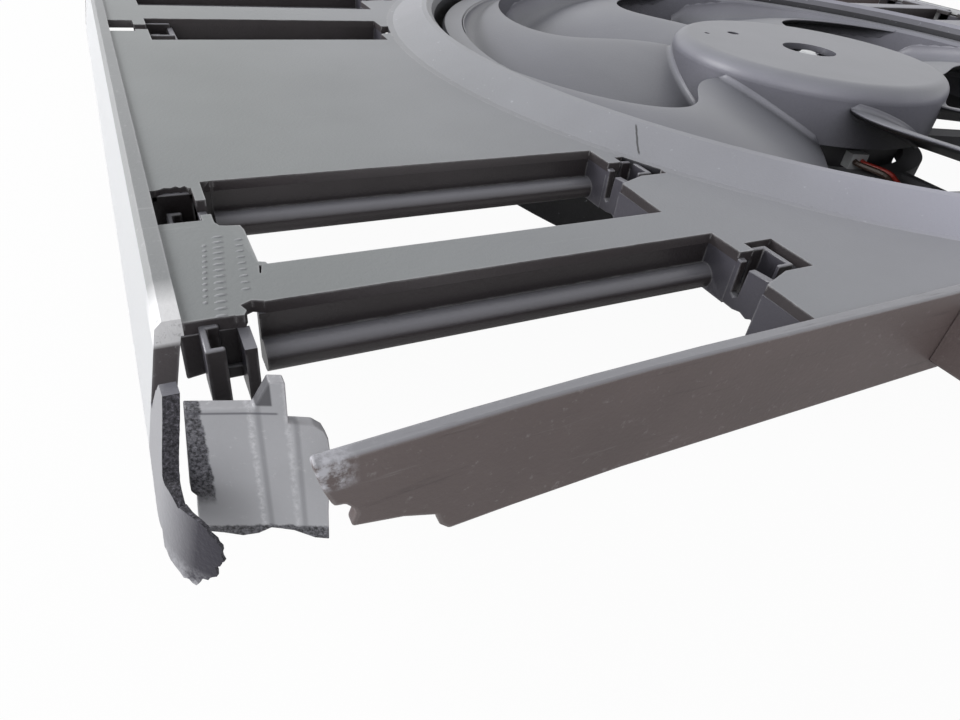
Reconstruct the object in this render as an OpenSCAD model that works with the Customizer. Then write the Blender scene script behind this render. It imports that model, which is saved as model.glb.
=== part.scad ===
// Radiator cooling fan: moulded shroud with flap windows, banded fan wheel and flat motor.
// The radiator side faces up (+Z). The fan axis is the Z axis, and the motor's rear face is Z = 0.
// X runs along the near rail. The near left corner of the shroud is broken off, as on the real one.

/* [Shroud] */
// Width over the side walls at the radiator face
shroud_w = 732; // [726:1:760]
// Height over the near and far rails
shroud_h = 430; // [420:1:450]
// Thickness of the moulded walls
wall = 3; // [2.5:0.1:3.5]
// Width of the rim bead along the side walls
side_rim_w = 5; // [4:0.5:5.5]
// Width of the rim bead along the near and far rails
rail_rim_w = 3; // [3:0.1:5.5]
// Height of the rim bead above the panel face
rim_rise = 1; // [0.5:0.1:2]
// Depth of the near and far rails below the panel face
rail_depth = 27.5; // [24:0.5:32]
// Depth of the side walls below the panel face
side_depth = 30; // [27:0.5:34]
// How far a side wall flares outwards over its depth
side_flare = 6; // [2:0.5:8]
// Radius of the shroud's vertical corners
corner_r = 26; // [18:1:28]

/* [Fan ring] */
// Radius of the fan wheel over its hoop lip
fan_r = 212; // [205:0.5:216]
// Gap between the hoop lip and the collar
tip_gap = 5; // [3:0.5:7]
// Width of the sloping bevel around the opening
bevel_w = 15; // [10:0.5:18]
// Height of the bevel's crest above the panel face
bevel_rise = 7; // [4:0.5:9]
// Flat land between the crest's slope and the collar wall
crest_w = 7; // [5:0.5:9]
// Depth of the collar below the panel face
collar_depth = 46; // [44:0.5:52]

/* [Windows] */
// Length of a flap window
window_l = 124; // [110:1:126]
// Distance from the fan axis to the inner end of the windows
window_in = 222; // [221:1:236]
// Height of the windows next to the rails
outer_row_h = 43.3; // [36:0.1:46]
// Height of the windows in the second rows
inner_row_h = 47.5; // [40:0.5:50]
// Height of the window in the middle row
mid_row_h = 38; // [32:0.5:42]
// Width of the bar between an outer and an inner window
row_bar = 15; // [12:0.5:18]
// Lower edge of the middle window, from the fan axis
mid_row_y = 41; // [30:1:50]
// Depth of the flat part of a window wall
window_wall_h = 8.8; // [6:0.2:12]
// Diameter of the rounded bead under a window wall
bead_d = 7.2; // [5:0.2:9]
// Width of a flap hook's back, along the window's end
hook_w = 11; // [9:0.5:12]
// Height of a flap hook
hook_h = 15; // [12:0.5:18]

/* [Fan wheel] */
// Number of blades
blade_count = 7; // [5:1:8]
// Radius of the hub
hub_r = 77; // [74:0.5:82]
// Height of the hub's face above the panel face
hub_rise = 4.6; // [2:0.2:6]
// Height of the hub over its skirt
hub_h = 30; // [26:0.5:32]
// Radius of the hub's rounded rim
hub_fillet = 8; // [4:0.5:10]
// Inner radius of the hoop
hoop_r = 200; // [194:0.5:202]
// Height of the hoop
hoop_h = 33; // [28:0.5:35]
// Thickness of a blade at its root
blade_root_t = 3.4; // [2.6:0.1:4.5]
// Thickness of a blade at its tip
blade_tip_t = 2.4; // [1.8:0.1:3]
// Angle that a blade's chord covers at the hub
blade_chord = 46; // [36:1:47]
// Drop from a blade's leading edge to its trailing edge
blade_drop = 20; // [14:0.5:22]
// Angle by which the leading edge sweeps back at mid span
blade_sweep = 14; // [6:1:18]
// Angle by which the leading edge hooks forward again at the hoop
tip_hook = 26; // [10:1:30]
// Direction of the first blade's root, as the photograph shows the wheel
first_blade = 189; // [0:1:359]

/* [Motor] */
// Radius of the motor can
motor_r = 66; // [60:0.5:68]
// Length of the motor can
can_l = 47; // [44:0.5:52]
// Thickness of the end plate, down to the rest face
end_plate_t = 10; // [9:0.5:12]
// Gap between the hub's face plate and the motor can
can_gap = 10.1; // [9:0.1:11]
// Thickness of the can's steel
steel_t = 2; // [1.5:0.1:2.5]
// Radius of the shaft
shaft_r = 5; // [4:0.1:6]
// Running clearance of the shaft in a bearing
shaft_fit = 0.03; // [0.02:0.01:0.08]
// Outer radius of the bearings
bearing_r = 13; // [11:0.5:14]
// Length of the bearings
bearing_l = 8; // [7:0.5:9]
// Radius of the armature
armature_r = 47; // [40:0.5:49]
// Length of the armature's core
core_l = 18; // [14:0.5:19]
// Number of armature slots
slot_count = 12; // [8:1:16]
// Air gap around the armature
air_gap = 1; // [0.6:0.1:1.5]
// Radius of the commutator
commutator_r = 15; // [13:0.5:17]
// Radius of the screw circle
screw_circle_r = 77; // [76:0.5:79]
// Radius of a motor screw
screw_r = 2.5; // [2:0.1:3]

/* [Motor carrier] */
// Gap between the can and the carrier ring
carrier_gap = 3.5; // [2:0.5:4]
// Width of the carrier ring
carrier_w = 10.5; // [8:0.5:13]
// Height of the carrier ring and the arms
carrier_h = 8; // [7:0.5:9]
// Width of an arm
arm_w = 15; // [11:0.5:16]
// Width of the arm that holds the leads
lead_arm_w = 30; // [26:0.5:32]
// Directions of the arms, the lead arm first
arm_angles = [268, 343, 55, 127, 199];
// Direction of the first motor screw
first_screw = 115; // [113:1:117]

/* [Mounting] */
// Distance between the two upper screw holes
lug_spacing = 500; // [460:5:520]
// Radius of the screw hole in a lug's steel bush
lug_hole_r = 3.25; // [2.75:0.05:4]
// Wall of a lug's steel bush
bush_t = 1.5; // [1:0.1:2]
// Thickness of a lug
lug_t = 8; // [6:0.5:10]
// Distance of a lug's hole from the far rail
lug_reach = 11; // [10:0.5:13]
// Distance between the two locating tabs on the near rail
tab_spacing = 326; // [310:1:340]
// Width of a locating tab
tab_w = 20; // [14:1:26]
// How far a locating tab stands out of the near rail
tab_reach = 14; // [10:0.5:18]

/* [Hidden] */
$fn = 96;

// Heights, all above the motor's rear face
can_front_z = can_l + end_plate_t;
hub_plate_t = 3.5;
hub_plate_z = can_front_z + can_gap;
hub_top_z = hub_plate_z + hub_plate_t;
panel_z = hub_top_z - hub_rise;
collar_z = panel_z - collar_depth;
carrier_z = collar_z;
arm_top_z = carrier_z + carrier_h;

// Places on the shroud
half_w = shroud_w / 2;
half_h = shroud_h / 2;
rail_in = half_h - rail_rim_w;
side_in = half_w - side_rim_w;
collar_r = fan_r + tip_gap;
crest_r = collar_r + crest_w;
bevel_r = crest_r + bevel_w;
ring_r = bevel_r + wall;
window_out = window_in + window_l;

// Rows of windows: far edge, height and length, nearest row first
row_1_y = -rail_in + outer_row_h;
row_2_y = row_1_y + row_bar + inner_row_h;
row_3_y = mid_row_y + mid_row_h;
row_5_y = rail_in;
row_4_y = row_5_y - outer_row_h - row_bar;
mid_row_cut = 14;
rows = [[row_1_y, outer_row_h, 0], [row_2_y, inner_row_h, 0], [row_3_y, mid_row_h, mid_row_cut],
    [row_4_y, inner_row_h, 0], [row_5_y, outer_row_h, 0]];

// Pocket and hook at the ends of a window
pocket_gap = 5;
pocket_w = 10.4;
pocket_v0 = 7.5;
pocket_v1 = 23;
ledge_v = 11.5;
step_u = 6;
step_v = 27;
end_wall_t = 2.4;
end_wall_h = 16;
hook_t = 2;
hook_reach = 6;
hook_gap = 0.3;

// Broken corner: how far its edges lie from the corner of the shroud's outline
rail_break = 18.3;
rail_bend_from = 116;
rail_bend_l = 95;
rail_bend = 3.3;
side_break = 43;
side_break_y = side_break - half_h;
plate_top = 5;
plate_lean = 5.7;
plate_t = 2.4;
post_h = 18;
post_t = 3.3;
rib_from = 21.8;
rib_t = 1.6;
torn_depth = 42;

// Colours
moulding = [0.26, 0.27, 0.29];
wheel_grey = [0.30, 0.31, 0.33];
steel = [0.62, 0.63, 0.65];

module on_panel() { translate([0, 0, panel_z]) children(); }
module both_sides() { children(); mirror([1, 0, 0]) children(); }

// Plan outline of one window, from its inner far corner, u outwards and v towards the near rail
module window_outline(h, l) {
    polygon([[0, 0], [l, 0], [l, ledge_v], [l + pocket_gap, ledge_v], [l + pocket_gap, pocket_v0 - 4],
        [l + pocket_gap + pocket_w, pocket_v0 - 4], [l + pocket_gap + pocket_w, pocket_v1],
        [l + pocket_gap, pocket_v1], [l + pocket_gap, ledge_v + 8.5], [l, ledge_v + 8.5], [l, h],
        [step_u, h], [step_u - 0.5, step_v], [-pocket_gap, pocket_v1],
        [-pocket_gap - pocket_w, pocket_v1], [-pocket_gap - pocket_w, pocket_v0],
        [-pocket_gap, pocket_v0], [-pocket_gap, ledge_v], [0, ledge_v]]);
}

// Moves a window's plan coordinates to its place on the left side of the shroud
module at_window(row) {
    translate([-window_in - row[2], row[0], 0]) mirror([1, 0, 0]) mirror([0, 1, 0]) children();
}

module windows_2d() {
    for (row = rows) at_window(row) window_outline(row[1], window_l - row[2]);
}

// Centre of a rounded corner, and the part of the panel's plan outside its rim
corner_x = half_w - corner_r;
corner_y = half_h - corner_r;
corner_in = corner_r - rail_rim_w;
corner_in_x = side_in - corner_in;
corner_in_y = rail_in - corner_in;

module corner_cut_2d() {
    difference() {
        translate([-half_w, corner_in_y]) square([half_w - corner_in_x, corner_r]);
        translate([-corner_in_x, corner_in_y]) circle(r = corner_in);
    }
}

// Flat panel between the side wall, the rails and the ring
module panel_2d() {
    difference() {
        translate([-side_in, -rail_in]) square([side_in, 2 * rail_in]);
        circle(r = ring_r, $fn = 180);
        windows_2d();
        corner_cut_2d();
        mirror([0, 1, 0]) corner_cut_2d();
    }
}

// The panel plate on the left, broken away at the near corner
module panel_left() {
    color(moulding) on_panel() translate([0, 0, -wall]) linear_extrude(wall) difference() {
        panel_2d();
        translate([-half_w, -half_h]) polygon([[0, side_break], [half_w - window_out - 8, side_break],
            [half_w - window_out, side_break - 1], [half_w - window_out, 0], [0, 0]]);
    }
}

module panel_right() {
    color(moulding) on_panel() translate([0, 0, -wall]) linear_extrude(wall)
        mirror([1, 0, 0]) panel_2d();
}

// Section of a side wall in X and Z, with the rim bead on top and a flared skin
module side_profile() {
    polygon([[-side_in, rim_rise], [-half_w + 1.5, rim_rise], [-half_w, rim_rise - 1.5],
        [-half_w - side_flare, -side_depth], [-half_w - side_flare + wall, -side_depth],
        [-half_w + wall, -wall], [-side_in, -wall]]);
}

module side_wall(y0, y1) {
    translate([0, y1, 0]) rotate([90, 0, 0]) linear_extrude(y1 - y0) side_profile();
}

// The wall is thicker in this section
module post_profile() {
    lean = side_flare * post_h / side_depth;
    polygon([[-side_in, 0], [-half_w + 1, 0], [-half_w - lean, -post_h], [-side_in - lean, -post_h]]);
}

// The left side wall ends in a post, where the corner is broken off
module side_wall_left() {
    color(moulding) on_panel() union() {
        side_wall(side_break_y, corner_y);
        translate([0, side_break_y + post_t, 0]) rotate([90, 0, 0]) linear_extrude(post_t) post_profile();
    }
}

module side_wall_right() {
    color(moulding) on_panel() mirror([1, 0, 0]) side_wall(-corner_y, corner_y);
}

// Solid of a corner, round in plan, with the flare of the side wall
module corner_body(r, top) {
    flare = side_flare * rail_depth / side_depth;
    hull() {
        translate([0, 0, top - 0.5]) cylinder(r = r, h = 0.5, $fn = 64);
        translate([0, 0, -rail_depth]) cylinder(r = r, h = 0.5, $fn = 64);
        translate([-flare, 0, -rail_depth]) cylinder(r = r, h = 0.5, $fn = 64);
    }
}

// Corner between a side wall and a rail, far left
module corner_wall() {
    translate([-corner_x, corner_y, 0]) intersection() {
        difference() {
            corner_body(corner_r, rim_rise);
            difference() {
                translate([0, 0, -1]) corner_body(corner_r - wall, 1 - wall);
                translate([-corner_r, -corner_r, -wall]) cube([2 * corner_r, 2 * corner_r, wall]);
            }
            translate([corner_x - corner_in_x, corner_in_y - corner_y, -wall - 1])
                cylinder(r = corner_in, h = wall + rim_rise + 2);
        }
        translate([-2 * corner_r, 0, -side_depth]) cube([2 * corner_r, corner_r, side_depth + rim_rise]);
    }
}

module shroud_corners() {
    color(moulding) on_panel() {
        corner_wall();
        mirror([1, 0, 0]) corner_wall();
        mirror([1, 0, 0]) mirror([0, 1, 0]) corner_wall();
    }
}

// Rail from x0 outwards, ending on the ring
module rail_block(x0, x1) {
    difference() {
        translate([x0, -half_h, -rail_depth]) cube([x1 - x0, rail_rim_w, rail_depth + rim_rise]);
        translate([x0 - 1, -half_h + wall, -rail_depth - 1])
            cube([x1 - x0 + 2, rail_rim_w, rail_depth + 1 - wall]);
        translate([0, 0, -rail_depth - 1]) cylinder(r = ring_r, h = rail_depth + rim_rise + 2, $fn = 180);
    }
}

// Outer radius of the near rail's bend, from its sagitta
bend_r = rail_bend_l * rail_bend_l / (2 * rail_bend);
bend_x = rail_bend_from - half_w;

// The near rail on the left bends outwards and ends in a torn edge, seen here from the front
module torn_rail_2d() {
    polygon([[rail_break, 3], [rail_break, 0], [rail_break + 1.2, -5], [rail_break + 2, -7.3],
        [rail_break + 3, -9.9], [rail_break + 5, -10.3], [rail_break + 6.6, -12.3], [rail_break + 7, -13.7],
        [rail_break + 6, -16.6], [rail_break + 11, -17.9], [rail_break + 16, -19.1],
        [rail_break + 23, -22], [rail_break + 24, -rail_depth + 2], [rail_break + 27, -rail_depth - 1],
        [half_w, -rail_depth - 1], [half_w, 3]]);
}

module near_rail_left() {
    color(moulding) on_panel() {
        rail_block(bend_x, 0);
        intersection() {
            translate([bend_x, -half_h - bend_r, 0]) rotate([0, 0, 90]) rotate_extrude(angle = 6, $fn = 720)
                translate([bend_r, -rail_depth]) square([rail_rim_w, rail_depth + rim_rise]);
            translate([-half_w, -half_h + rail_depth, 0]) rotate([90, 0, 0]) linear_extrude(2 * rail_depth)
                torn_rail_2d();
        }
    }
}

module near_rail_right() {
    color(moulding) on_panel() mirror([1, 0, 0]) rail_block(-corner_x, 0);
}

module far_rail_right() {
    color(moulding) on_panel() mirror([1, 0, 0]) mirror([0, 1, 0]) rail_block(-corner_x, 0);
}

module far_rail_left() {
    color(moulding) on_panel() mirror([0, 1, 0]) rail_block(-corner_x, 0);
}

// Slanting wall inside the broken corner, folded along two ridges, with an upright tab. Its plan and
// its outline are measured from the corner of the shroud
plate_path = [[-4, 25.6], [12.5, 20.1], [18.7, 17.7], [32, 11.7]];
plate_outline = [[0.4, -26], [2.3, -plate_top], [13.5, -plate_top], [16.4, 1], [19, 1], [18.9, -8.6],
    [23.1, -8.6], [24.7, -9.8], [25.4, -11.7], [25.6, -15], [24.7, -32], [24.5, -40], [21.8, -39.8],
    [18, -37.8], [13.8, -37.1], [11.3, -38.8], [8.3, -39.5], [4.9, -38.4], [1.7, -37.7], [0.7, -34.5],
    [1.4, -27.5]];
function leftward(a, b) = let(d = (b - a) / norm(b - a)) [-d[1], d[0]];
function beside(p, i, t) = let(n = leftward(p[max(i - 1, 0)], p[max(i, 1)]),
    m = leftward(p[min(i, len(p) - 2)], p[min(i + 1, len(p) - 1)])) p[i] + t * (n + m) / (1 + n * m);

module at_broken_corner() { translate([-half_w, -half_h, 0]) children(); }

module corner_plate() {
    last = len(plate_path) - 1;
    hinge = [12, 0, -plate_top];
    color(moulding) on_panel() at_broken_corner() intersection() {
        translate(hinge) rotate([0, plate_lean, 0]) translate(-hinge)
            translate([0, 0, -torn_depth]) linear_extrude(2 * torn_depth)
                polygon(concat(plate_path, [for (i = [last : -1 : 0]) beside(plate_path, i, plate_t)]));
        translate([0, torn_depth, 0]) rotate([90, 0, 0]) linear_extrude(2 * torn_depth)
            polygon(plate_outline);
    }
}

// Torn skin of the broken corner, which curves from the side wall towards the near rail, and its
// outline seen from the right, from the corner of the shroud
skin_outline = [[side_break, -post_h], [side_break, -side_depth], [21.6, -32.2], [19.8, -35.2],
    [17.1, -36.4], [10.1, -37.4], [9.2, -34.5], [7.5, -32.9], [6.8, -31.7], [6.8, -28.3], [6.2, -27.7],
    [7.8, -23.2], [10.1, -21.1], [13.3, -20.7], [15.9, -21.3], [19.5, -20.2], [23.3, -19.8],
    [25, -12.4], [26.2, -7.2], [27.5, -4.5], [33, -6], [39, -14], [side_break - 2, -post_h]];

module skin_body(r) {
    lean = side_flare * torn_depth / side_depth;
    hull() {
        translate([0, 0, -torn_depth]) cylinder(r = r, h = torn_depth, $fn = 64);
        translate([-lean, 0, -torn_depth]) cylinder(r = r, h = 0.5, $fn = 64);
    }
}

module skin_profile() {
    lean = side_flare * torn_depth / side_depth;
    polygon([[0, 0], [-lean, -torn_depth], [wall - lean, -torn_depth], [wall, 0]]);
}

module corner_skin() {
    color(moulding) on_panel() intersection() {
        union() {
            translate([-corner_x, -corner_y, 0]) difference() {
                skin_body(corner_r);
                translate([0, 0, -1]) skin_body(corner_r - wall);
                translate([-2 * corner_r, 0, -torn_depth - 2])
                    cube([4 * corner_r, corner_r + 1, torn_depth + 4]);
            }
            translate([-half_w, side_break_y, 0]) rotate([90, 0, 0]) linear_extrude(side_break_y + corner_y)
                skin_profile();
        }
        at_broken_corner() rotate([90, 0, 90]) translate([0, 0, -2 * side_flare])
            linear_extrude(corner_r + 2 * side_flare) polygon(skin_outline);
    }
}

// Walls under one window: the far wall with its bead, and the inner end wall. The rail takes the
// place of the far wall in the row next to it
module window_walls(row) {
    l = window_l - row[2];
    far_wall_t = row[0] < row_5_y ? end_wall_t : 0;
    at_window(row) translate([0, 0, -wall]) mirror([0, 0, 1]) {
        if (far_wall_t > 0) {
            translate([0, -end_wall_t, 0]) cube([l, end_wall_t, window_wall_h - wall + bead_d]);
            translate([0, bead_d / 4, window_wall_h - wall + bead_d / 2]) rotate([0, 90, 0])
                intersection() {
                    cylinder(d = bead_d, h = l, $fn = 32);
                    translate([-bead_d, -bead_d / 4, 0]) cube([2 * bead_d, bead_d, l]);
                }
        }
        translate([-end_wall_t, -far_wall_t, 0])
            cube([end_wall_t, ledge_v + far_wall_t, end_wall_h - wall]);
        translate([step_u - end_wall_t, step_v, 0])
            cube([end_wall_t, row[1] - step_v, end_wall_h - wall]);
        translate([l + pocket_gap - end_wall_t, pocket_v0 - 4, 0])
            cube([end_wall_t, ledge_v - pocket_v0 + 4, end_wall_h - wall]);
    }
}

module window_walls_left() {
    color(moulding) on_panel() for (row = rows) window_walls(row);
}

module window_walls_right() {
    color(moulding) on_panel() mirror([1, 0, 0]) for (row = rows) window_walls(row);
}

// One flap hook in its pocket, open towards the window
module hook_2d() {
    difference() {
        square([hook_reach, hook_w]);
        translate([-1, hook_t]) square([hook_reach - hook_t + 1, hook_w - 2 * hook_t]);
    }
}

module hooks_at(row) {
    v0 = (pocket_v0 + pocket_v1 - hook_w) / 2;
    l = window_l - row[2];
    at_window(row) translate([0, 0, -hook_h]) {
        translate([-pocket_gap - 1, v0, 0]) mirror([1, 0, 0]) {
            linear_extrude(hook_h) hook_2d();
            translate([end_wall_t - pocket_gap - 1, 0, 0])
                cube([pocket_gap + hook_t - end_wall_t, hook_w, hook_t]);
        }
        translate([l + pocket_gap, v0 - hook_t, 0]) {
            linear_extrude(hook_h) hook_2d();
            translate([0, hook_t / 2, 0]) cube([hook_reach, hook_w - hook_t, hook_t]);
        }
    }
}

// Rib that ties the hook in the broken corner to the panel and to the slanting wall
module corner_rib() {
    x = -window_out - pocket_gap;
    y0 = rib_from - half_h;
    translate([x, y0, -hook_h]) cube([rib_t, row_1_y - ledge_v - y0, hook_h - wall]);
}

module flap_hooks() {
    color(moulding) on_panel() union() {
        whole_hooks();
        corner_rib();
    }
}

module whole_hooks() {
    both_sides() difference() {
        for (row = rows) hooks_at(row);
        translate([0, 0, -wall]) linear_extrude(wall + 1) {
            corner_cut_2d();
            mirror([0, 1, 0]) corner_cut_2d();
        }
        translate([0, 0, -hook_h - 1]) cylinder(r = ring_r + hook_gap, h = hook_h + 2, $fn = 180);
    }
}

// Raised bevel around the fan opening, a shell of one wall
module bevel_ring() {
    color(moulding) on_panel() rotate_extrude($fn = 180) polygon([[ring_r, -wall], [ring_r, 0],
        [bevel_r, 0], [crest_r, bevel_rise], [crest_r - 2.5, bevel_rise + 0.4],
        [collar_r + 1.6, bevel_rise - 1.6], [collar_r, bevel_rise - 5], [collar_r, -wall],
        [collar_r + wall, -wall], [collar_r + wall, bevel_rise - 4.6], [crest_r - 1.5, bevel_rise - 3.4],
        [bevel_r - 1.2, -wall]]);
}

// Outer skin of the ring where it bulges past the near and far rails
module ring_skirts() {
    color(moulding) on_panel() translate([0, 0, -rail_depth]) difference() {
        cylinder(r = ring_r, h = rail_depth - wall, $fn = 180);
        translate([0, 0, -1]) cylinder(r = bevel_r, h = rail_depth, $fn = 180);
        translate([-half_w, -rail_in, -1]) cube([shroud_w, 2 * rail_in, rail_depth + 1]);
    }
}

module fan_collar() {
    color(moulding) translate([0, 0, collar_z]) difference() {
        cylinder(r = collar_r + wall, h = collar_depth - wall, $fn = 180);
        translate([0, 0, -1]) cylinder(r = collar_r, h = collar_depth, $fn = 180);
    }
}

carrier_r = motor_r + carrier_gap;
carrier_out = carrier_r + carrier_w;
channel_w = lead_arm_w - 2 * wall;
channel_h = carrier_h - wall;
lead_slot_w = 20;
lead_slot_l = 18;

// Radial arms from the carrier ring to the collar; the first one is a channel for the leads
module stator_arms() {
    color(moulding) translate([0, 0, carrier_z]) difference() {
        for (i = [0 : len(arm_angles) - 1]) rotate([0, 0, arm_angles[i]]) {
            w = i == 0 ? lead_arm_w : arm_w;
            translate([0, -w / 2, 0]) cube([collar_r + wall, w, carrier_h]);
        }
        translate([0, 0, -1]) cylinder(r = carrier_out, h = carrier_h + 2);
        translate([0, 0, -1]) difference() {
            cylinder(r = collar_r + 2 * wall + 5, h = carrier_h + 2);
            translate([0, 0, -1]) cylinder(r = collar_r, h = carrier_h + 4, $fn = 180);
        }
        rotate([0, 0, arm_angles[0]]) {
            translate([carrier_out - 1, -channel_w / 2, -1]) cube([collar_r, channel_w, channel_h + 1]);
            translate([carrier_out, -lead_slot_w / 2, 0]) cube([lead_slot_l, lead_slot_w, carrier_h + 1]);
        }
        for (i = [1 : len(arm_angles) - 1]) rotate([0, 0, arm_angles[i]])
            translate([carrier_out + 4, -arm_w / 2 + wall, -1])
                cube([collar_r - carrier_out - 8, arm_w - 2 * wall, carrier_h + 1 - wall]);
    }
}

function screw_angle(i) = first_screw + 120 * i;
boss_r = 6;
boss_h = 12;

module at_screws() {
    for (i = [0 : 2]) rotate([0, 0, screw_angle(i)]) translate([screw_circle_r, 0, 0]) children();
}

module motor_carrier() {
    color(moulding) translate([0, 0, carrier_z]) difference() {
        union() {
            cylinder(r = carrier_out, h = carrier_h);
            at_screws() cylinder(r = boss_r, h = boss_h, $fn = 32);
        }
        translate([0, 0, -1]) cylinder(r = carrier_r, h = boss_h + 2);
        at_screws() translate([0, 0, -1]) cylinder(r = screw_r, h = boss_h - 1, $fn = 32);
    }
}

lug_z = panel_z - wall - lug_t;
lug_bush_r = lug_hole_r + bush_t;
lug_r = lug_bush_r + 4;

module at_lugs() {
    for (s = [-1, 1]) translate([s * lug_spacing / 2, half_h + lug_reach, lug_z]) children();
}

module mounting_lugs() {
    color(moulding) at_lugs() difference() {
        linear_extrude(lug_t) union() {
            circle(r = lug_r);
            translate([-lug_r, -lug_reach]) square([2 * lug_r, lug_reach]);
        }
        translate([0, 0, -1]) cylinder(r = lug_bush_r, h = lug_t + 2);
    }
}

module lug_bushes() {
    color(steel) at_lugs() difference() {
        cylinder(r = lug_bush_r, h = lug_t + 0.5);
        translate([0, 0, -1]) cylinder(r = lug_hole_r, h = lug_t + 3);
    }
}

tab_t = 3;
tab_h = 18;
tab_drop = 5;

// Tabs that slide into the radiator's lower brackets
module locating_tabs() {
    color(moulding) on_panel() for (s = [-1, 1])
        translate([s * tab_spacing / 2 - tab_w / 2, -half_h - tab_reach, -tab_drop - tab_h]) {
            cube([tab_w, tab_reach, tab_t]);
            for (x = [0, tab_w - tab_t]) translate([x, 0, 0])
                rotate([90, 0, 90]) linear_extrude(tab_t)
                    polygon([[0, 0], [tab_reach, 0], [tab_reach, tab_h], [tab_reach - 4, tab_h], [0, tab_t + 2]]);
        }
}

hub_wall = 3;
rib_h = 5;
hub_boss_r = 16;
hub_recess_r = 15;
hub_recess = 5;
insert_r = 9;
insert_l = 9;
insert_z = hub_top_z - hub_recess - insert_l + 1;
boss_z = hub_top_z - hub_recess - insert_l + 2;
hub_z = hub_top_z - hub_h;

// Half section of the hub, a deep cup with a rounded rim and a recess for the clip
module hub_profile() {
    union() {
        difference() {
            union() {
                translate([0, hub_z]) square([hub_r, hub_h - hub_fillet]);
                translate([0, hub_z]) square([hub_r - hub_fillet, hub_h]);
                translate([hub_r - hub_fillet, hub_top_z - hub_fillet]) circle(r = hub_fillet, $fn = 48);
            }
            translate([-1, hub_z - 1]) square([hub_r - hub_wall + 1, hub_h - hub_fillet + 1]);
            translate([-1, hub_z - 1]) square([hub_r - hub_fillet + 1, hub_h + 1 - hub_plate_t]);
            translate([hub_r - hub_fillet, hub_top_z - hub_fillet])
                circle(r = hub_fillet - hub_wall, $fn = 48);
            translate([-1, hub_top_z - hub_recess]) square([hub_recess_r + 1, hub_recess + 1]);
        }
        translate([insert_r, boss_z]) square([hub_boss_r - insert_r + 3, hub_top_z - hub_recess - boss_z]);
    }
}

// Hub of the fan wheel, with ribs under its face and one balance pocket
module fan_hub() {
    pocket_at = [44.6, 123.6];
    color(wheel_grey) difference() {
        union() {
            rotate_extrude($fn = 144) intersection() {
                hub_profile();
                translate([insert_r, 0]) square([hub_r, 2 * hub_top_z]);
            }
            for (i = [0 : blade_count - 1]) rotate([0, 0, i * 360 / blade_count])
                translate([hub_boss_r + 1, -1, hub_plate_z - rib_h])
                    cube([hub_r - hub_fillet - hub_boss_r - 4, 2, rib_h + 0.5]);
        }
        rotate([0, 0, pocket_at[1]]) translate([pocket_at[0], 0, hub_top_z - 2]) cylinder(r = 3.5, h = 3, $fn = 32);
        rotate([0, 0, 141]) translate([58.6, 0, hub_top_z - 1]) cylinder(r = 1.6, h = 2, $fn = 32);
    }
}

// Blade surface: u runs from hub to hoop, v from leading to trailing edge
weld = 0.06;
span_u = [for (i = [0 : 10]) i / 10];
chord_v = [for (i = [0 : 14]) i / 14];
function bell(x) = (1 - cos(180 * x)) / 2;
function blade_r(u) = hub_r + weld + (hoop_r - hub_r - 2 * weld) * u;
function sweep(u) = blade_sweep * bell(min(u / 0.55, 1)) - tip_hook * pow(max(0, (u - 0.55) / 0.45), 2);
function trail(u) = blade_chord - 8 * u;
function blade_a(u, v) = sweep(u) + (trail(u) - sweep(u)) * v;
function tip_rise(u, v) = 7 * pow(max(0, (u - 0.85) / 0.15), 2) * sin(180 * v);
function blade_z(u, v) = panel_z - 6 + 3 * u - (blade_drop + 2 * u) * pow(v, 1.5) + tip_rise(u, v);
function blade_t(u, v) = (blade_root_t + (blade_tip_t - blade_root_t) * u)
    * (v < 0.1 ? sqrt(v / 0.1) * 0.8 + 0.2 : 1 - 0.7 * pow((v - 0.1) / 0.9, 2));
function blade_point(u, v, side) = let(a = blade_a(u, v), r = blade_r(u))
    [r * cos(a), r * sin(a), blade_z(u, v) - side * blade_t(u, v)];

module blade() {
    nu = len(span_u);
    nv = len(chord_v);
    top = [for (u = span_u) for (v = chord_v) blade_point(u, v, 0)];
    under = [for (u = span_u) for (v = chord_v) blade_point(u, v, 1)];
    m = nu * nv;
    faces = concat(
        [for (i = [0 : nu - 2]) for (j = [0 : nv - 2]) for (k = [0, 1]) let(a = i * nv + j)
            k == 0 ? [a, a + nv, a + nv + 1] : [a, a + nv + 1, a + 1]],
        [for (i = [0 : nu - 2]) for (j = [0 : nv - 2]) for (k = [0, 1]) let(a = m + i * nv + j)
            k == 0 ? [a, a + nv + 1, a + nv] : [a, a + 1, a + nv + 1]],
        [for (j = [0 : nv - 2]) for (k = [0, 1])
            k == 0 ? [j, j + 1, m + j + 1] : [j, m + j + 1, m + j]],
        [for (j = [0 : nv - 2]) for (k = [0, 1]) let(a = (nu - 1) * nv + j)
            k == 0 ? [a, m + a, m + a + 1] : [a, m + a + 1, a + 1]],
        [for (i = [0 : nu - 2]) for (k = [0, 1]) let(a = i * nv)
            k == 0 ? [a, m + a, m + a + nv] : [a, m + a + nv, a + nv]],
        [for (i = [0 : nu - 2]) for (k = [0, 1]) let(a = i * nv + nv - 1)
            k == 0 ? [a, a + nv, m + a + nv] : [a, m + a + nv, m + a]]);
    polyhedron(points = concat(top, under), faces = faces);
}

module fan_blades() {
    color(wheel_grey) for (i = [0 : blade_count - 1])
        rotate([0, 0, first_blade + i * 360 / blade_count]) blade();
}

hoop_top = panel_z - 1;
hoop_t = 2.5;
lip_t = 2.6;

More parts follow.
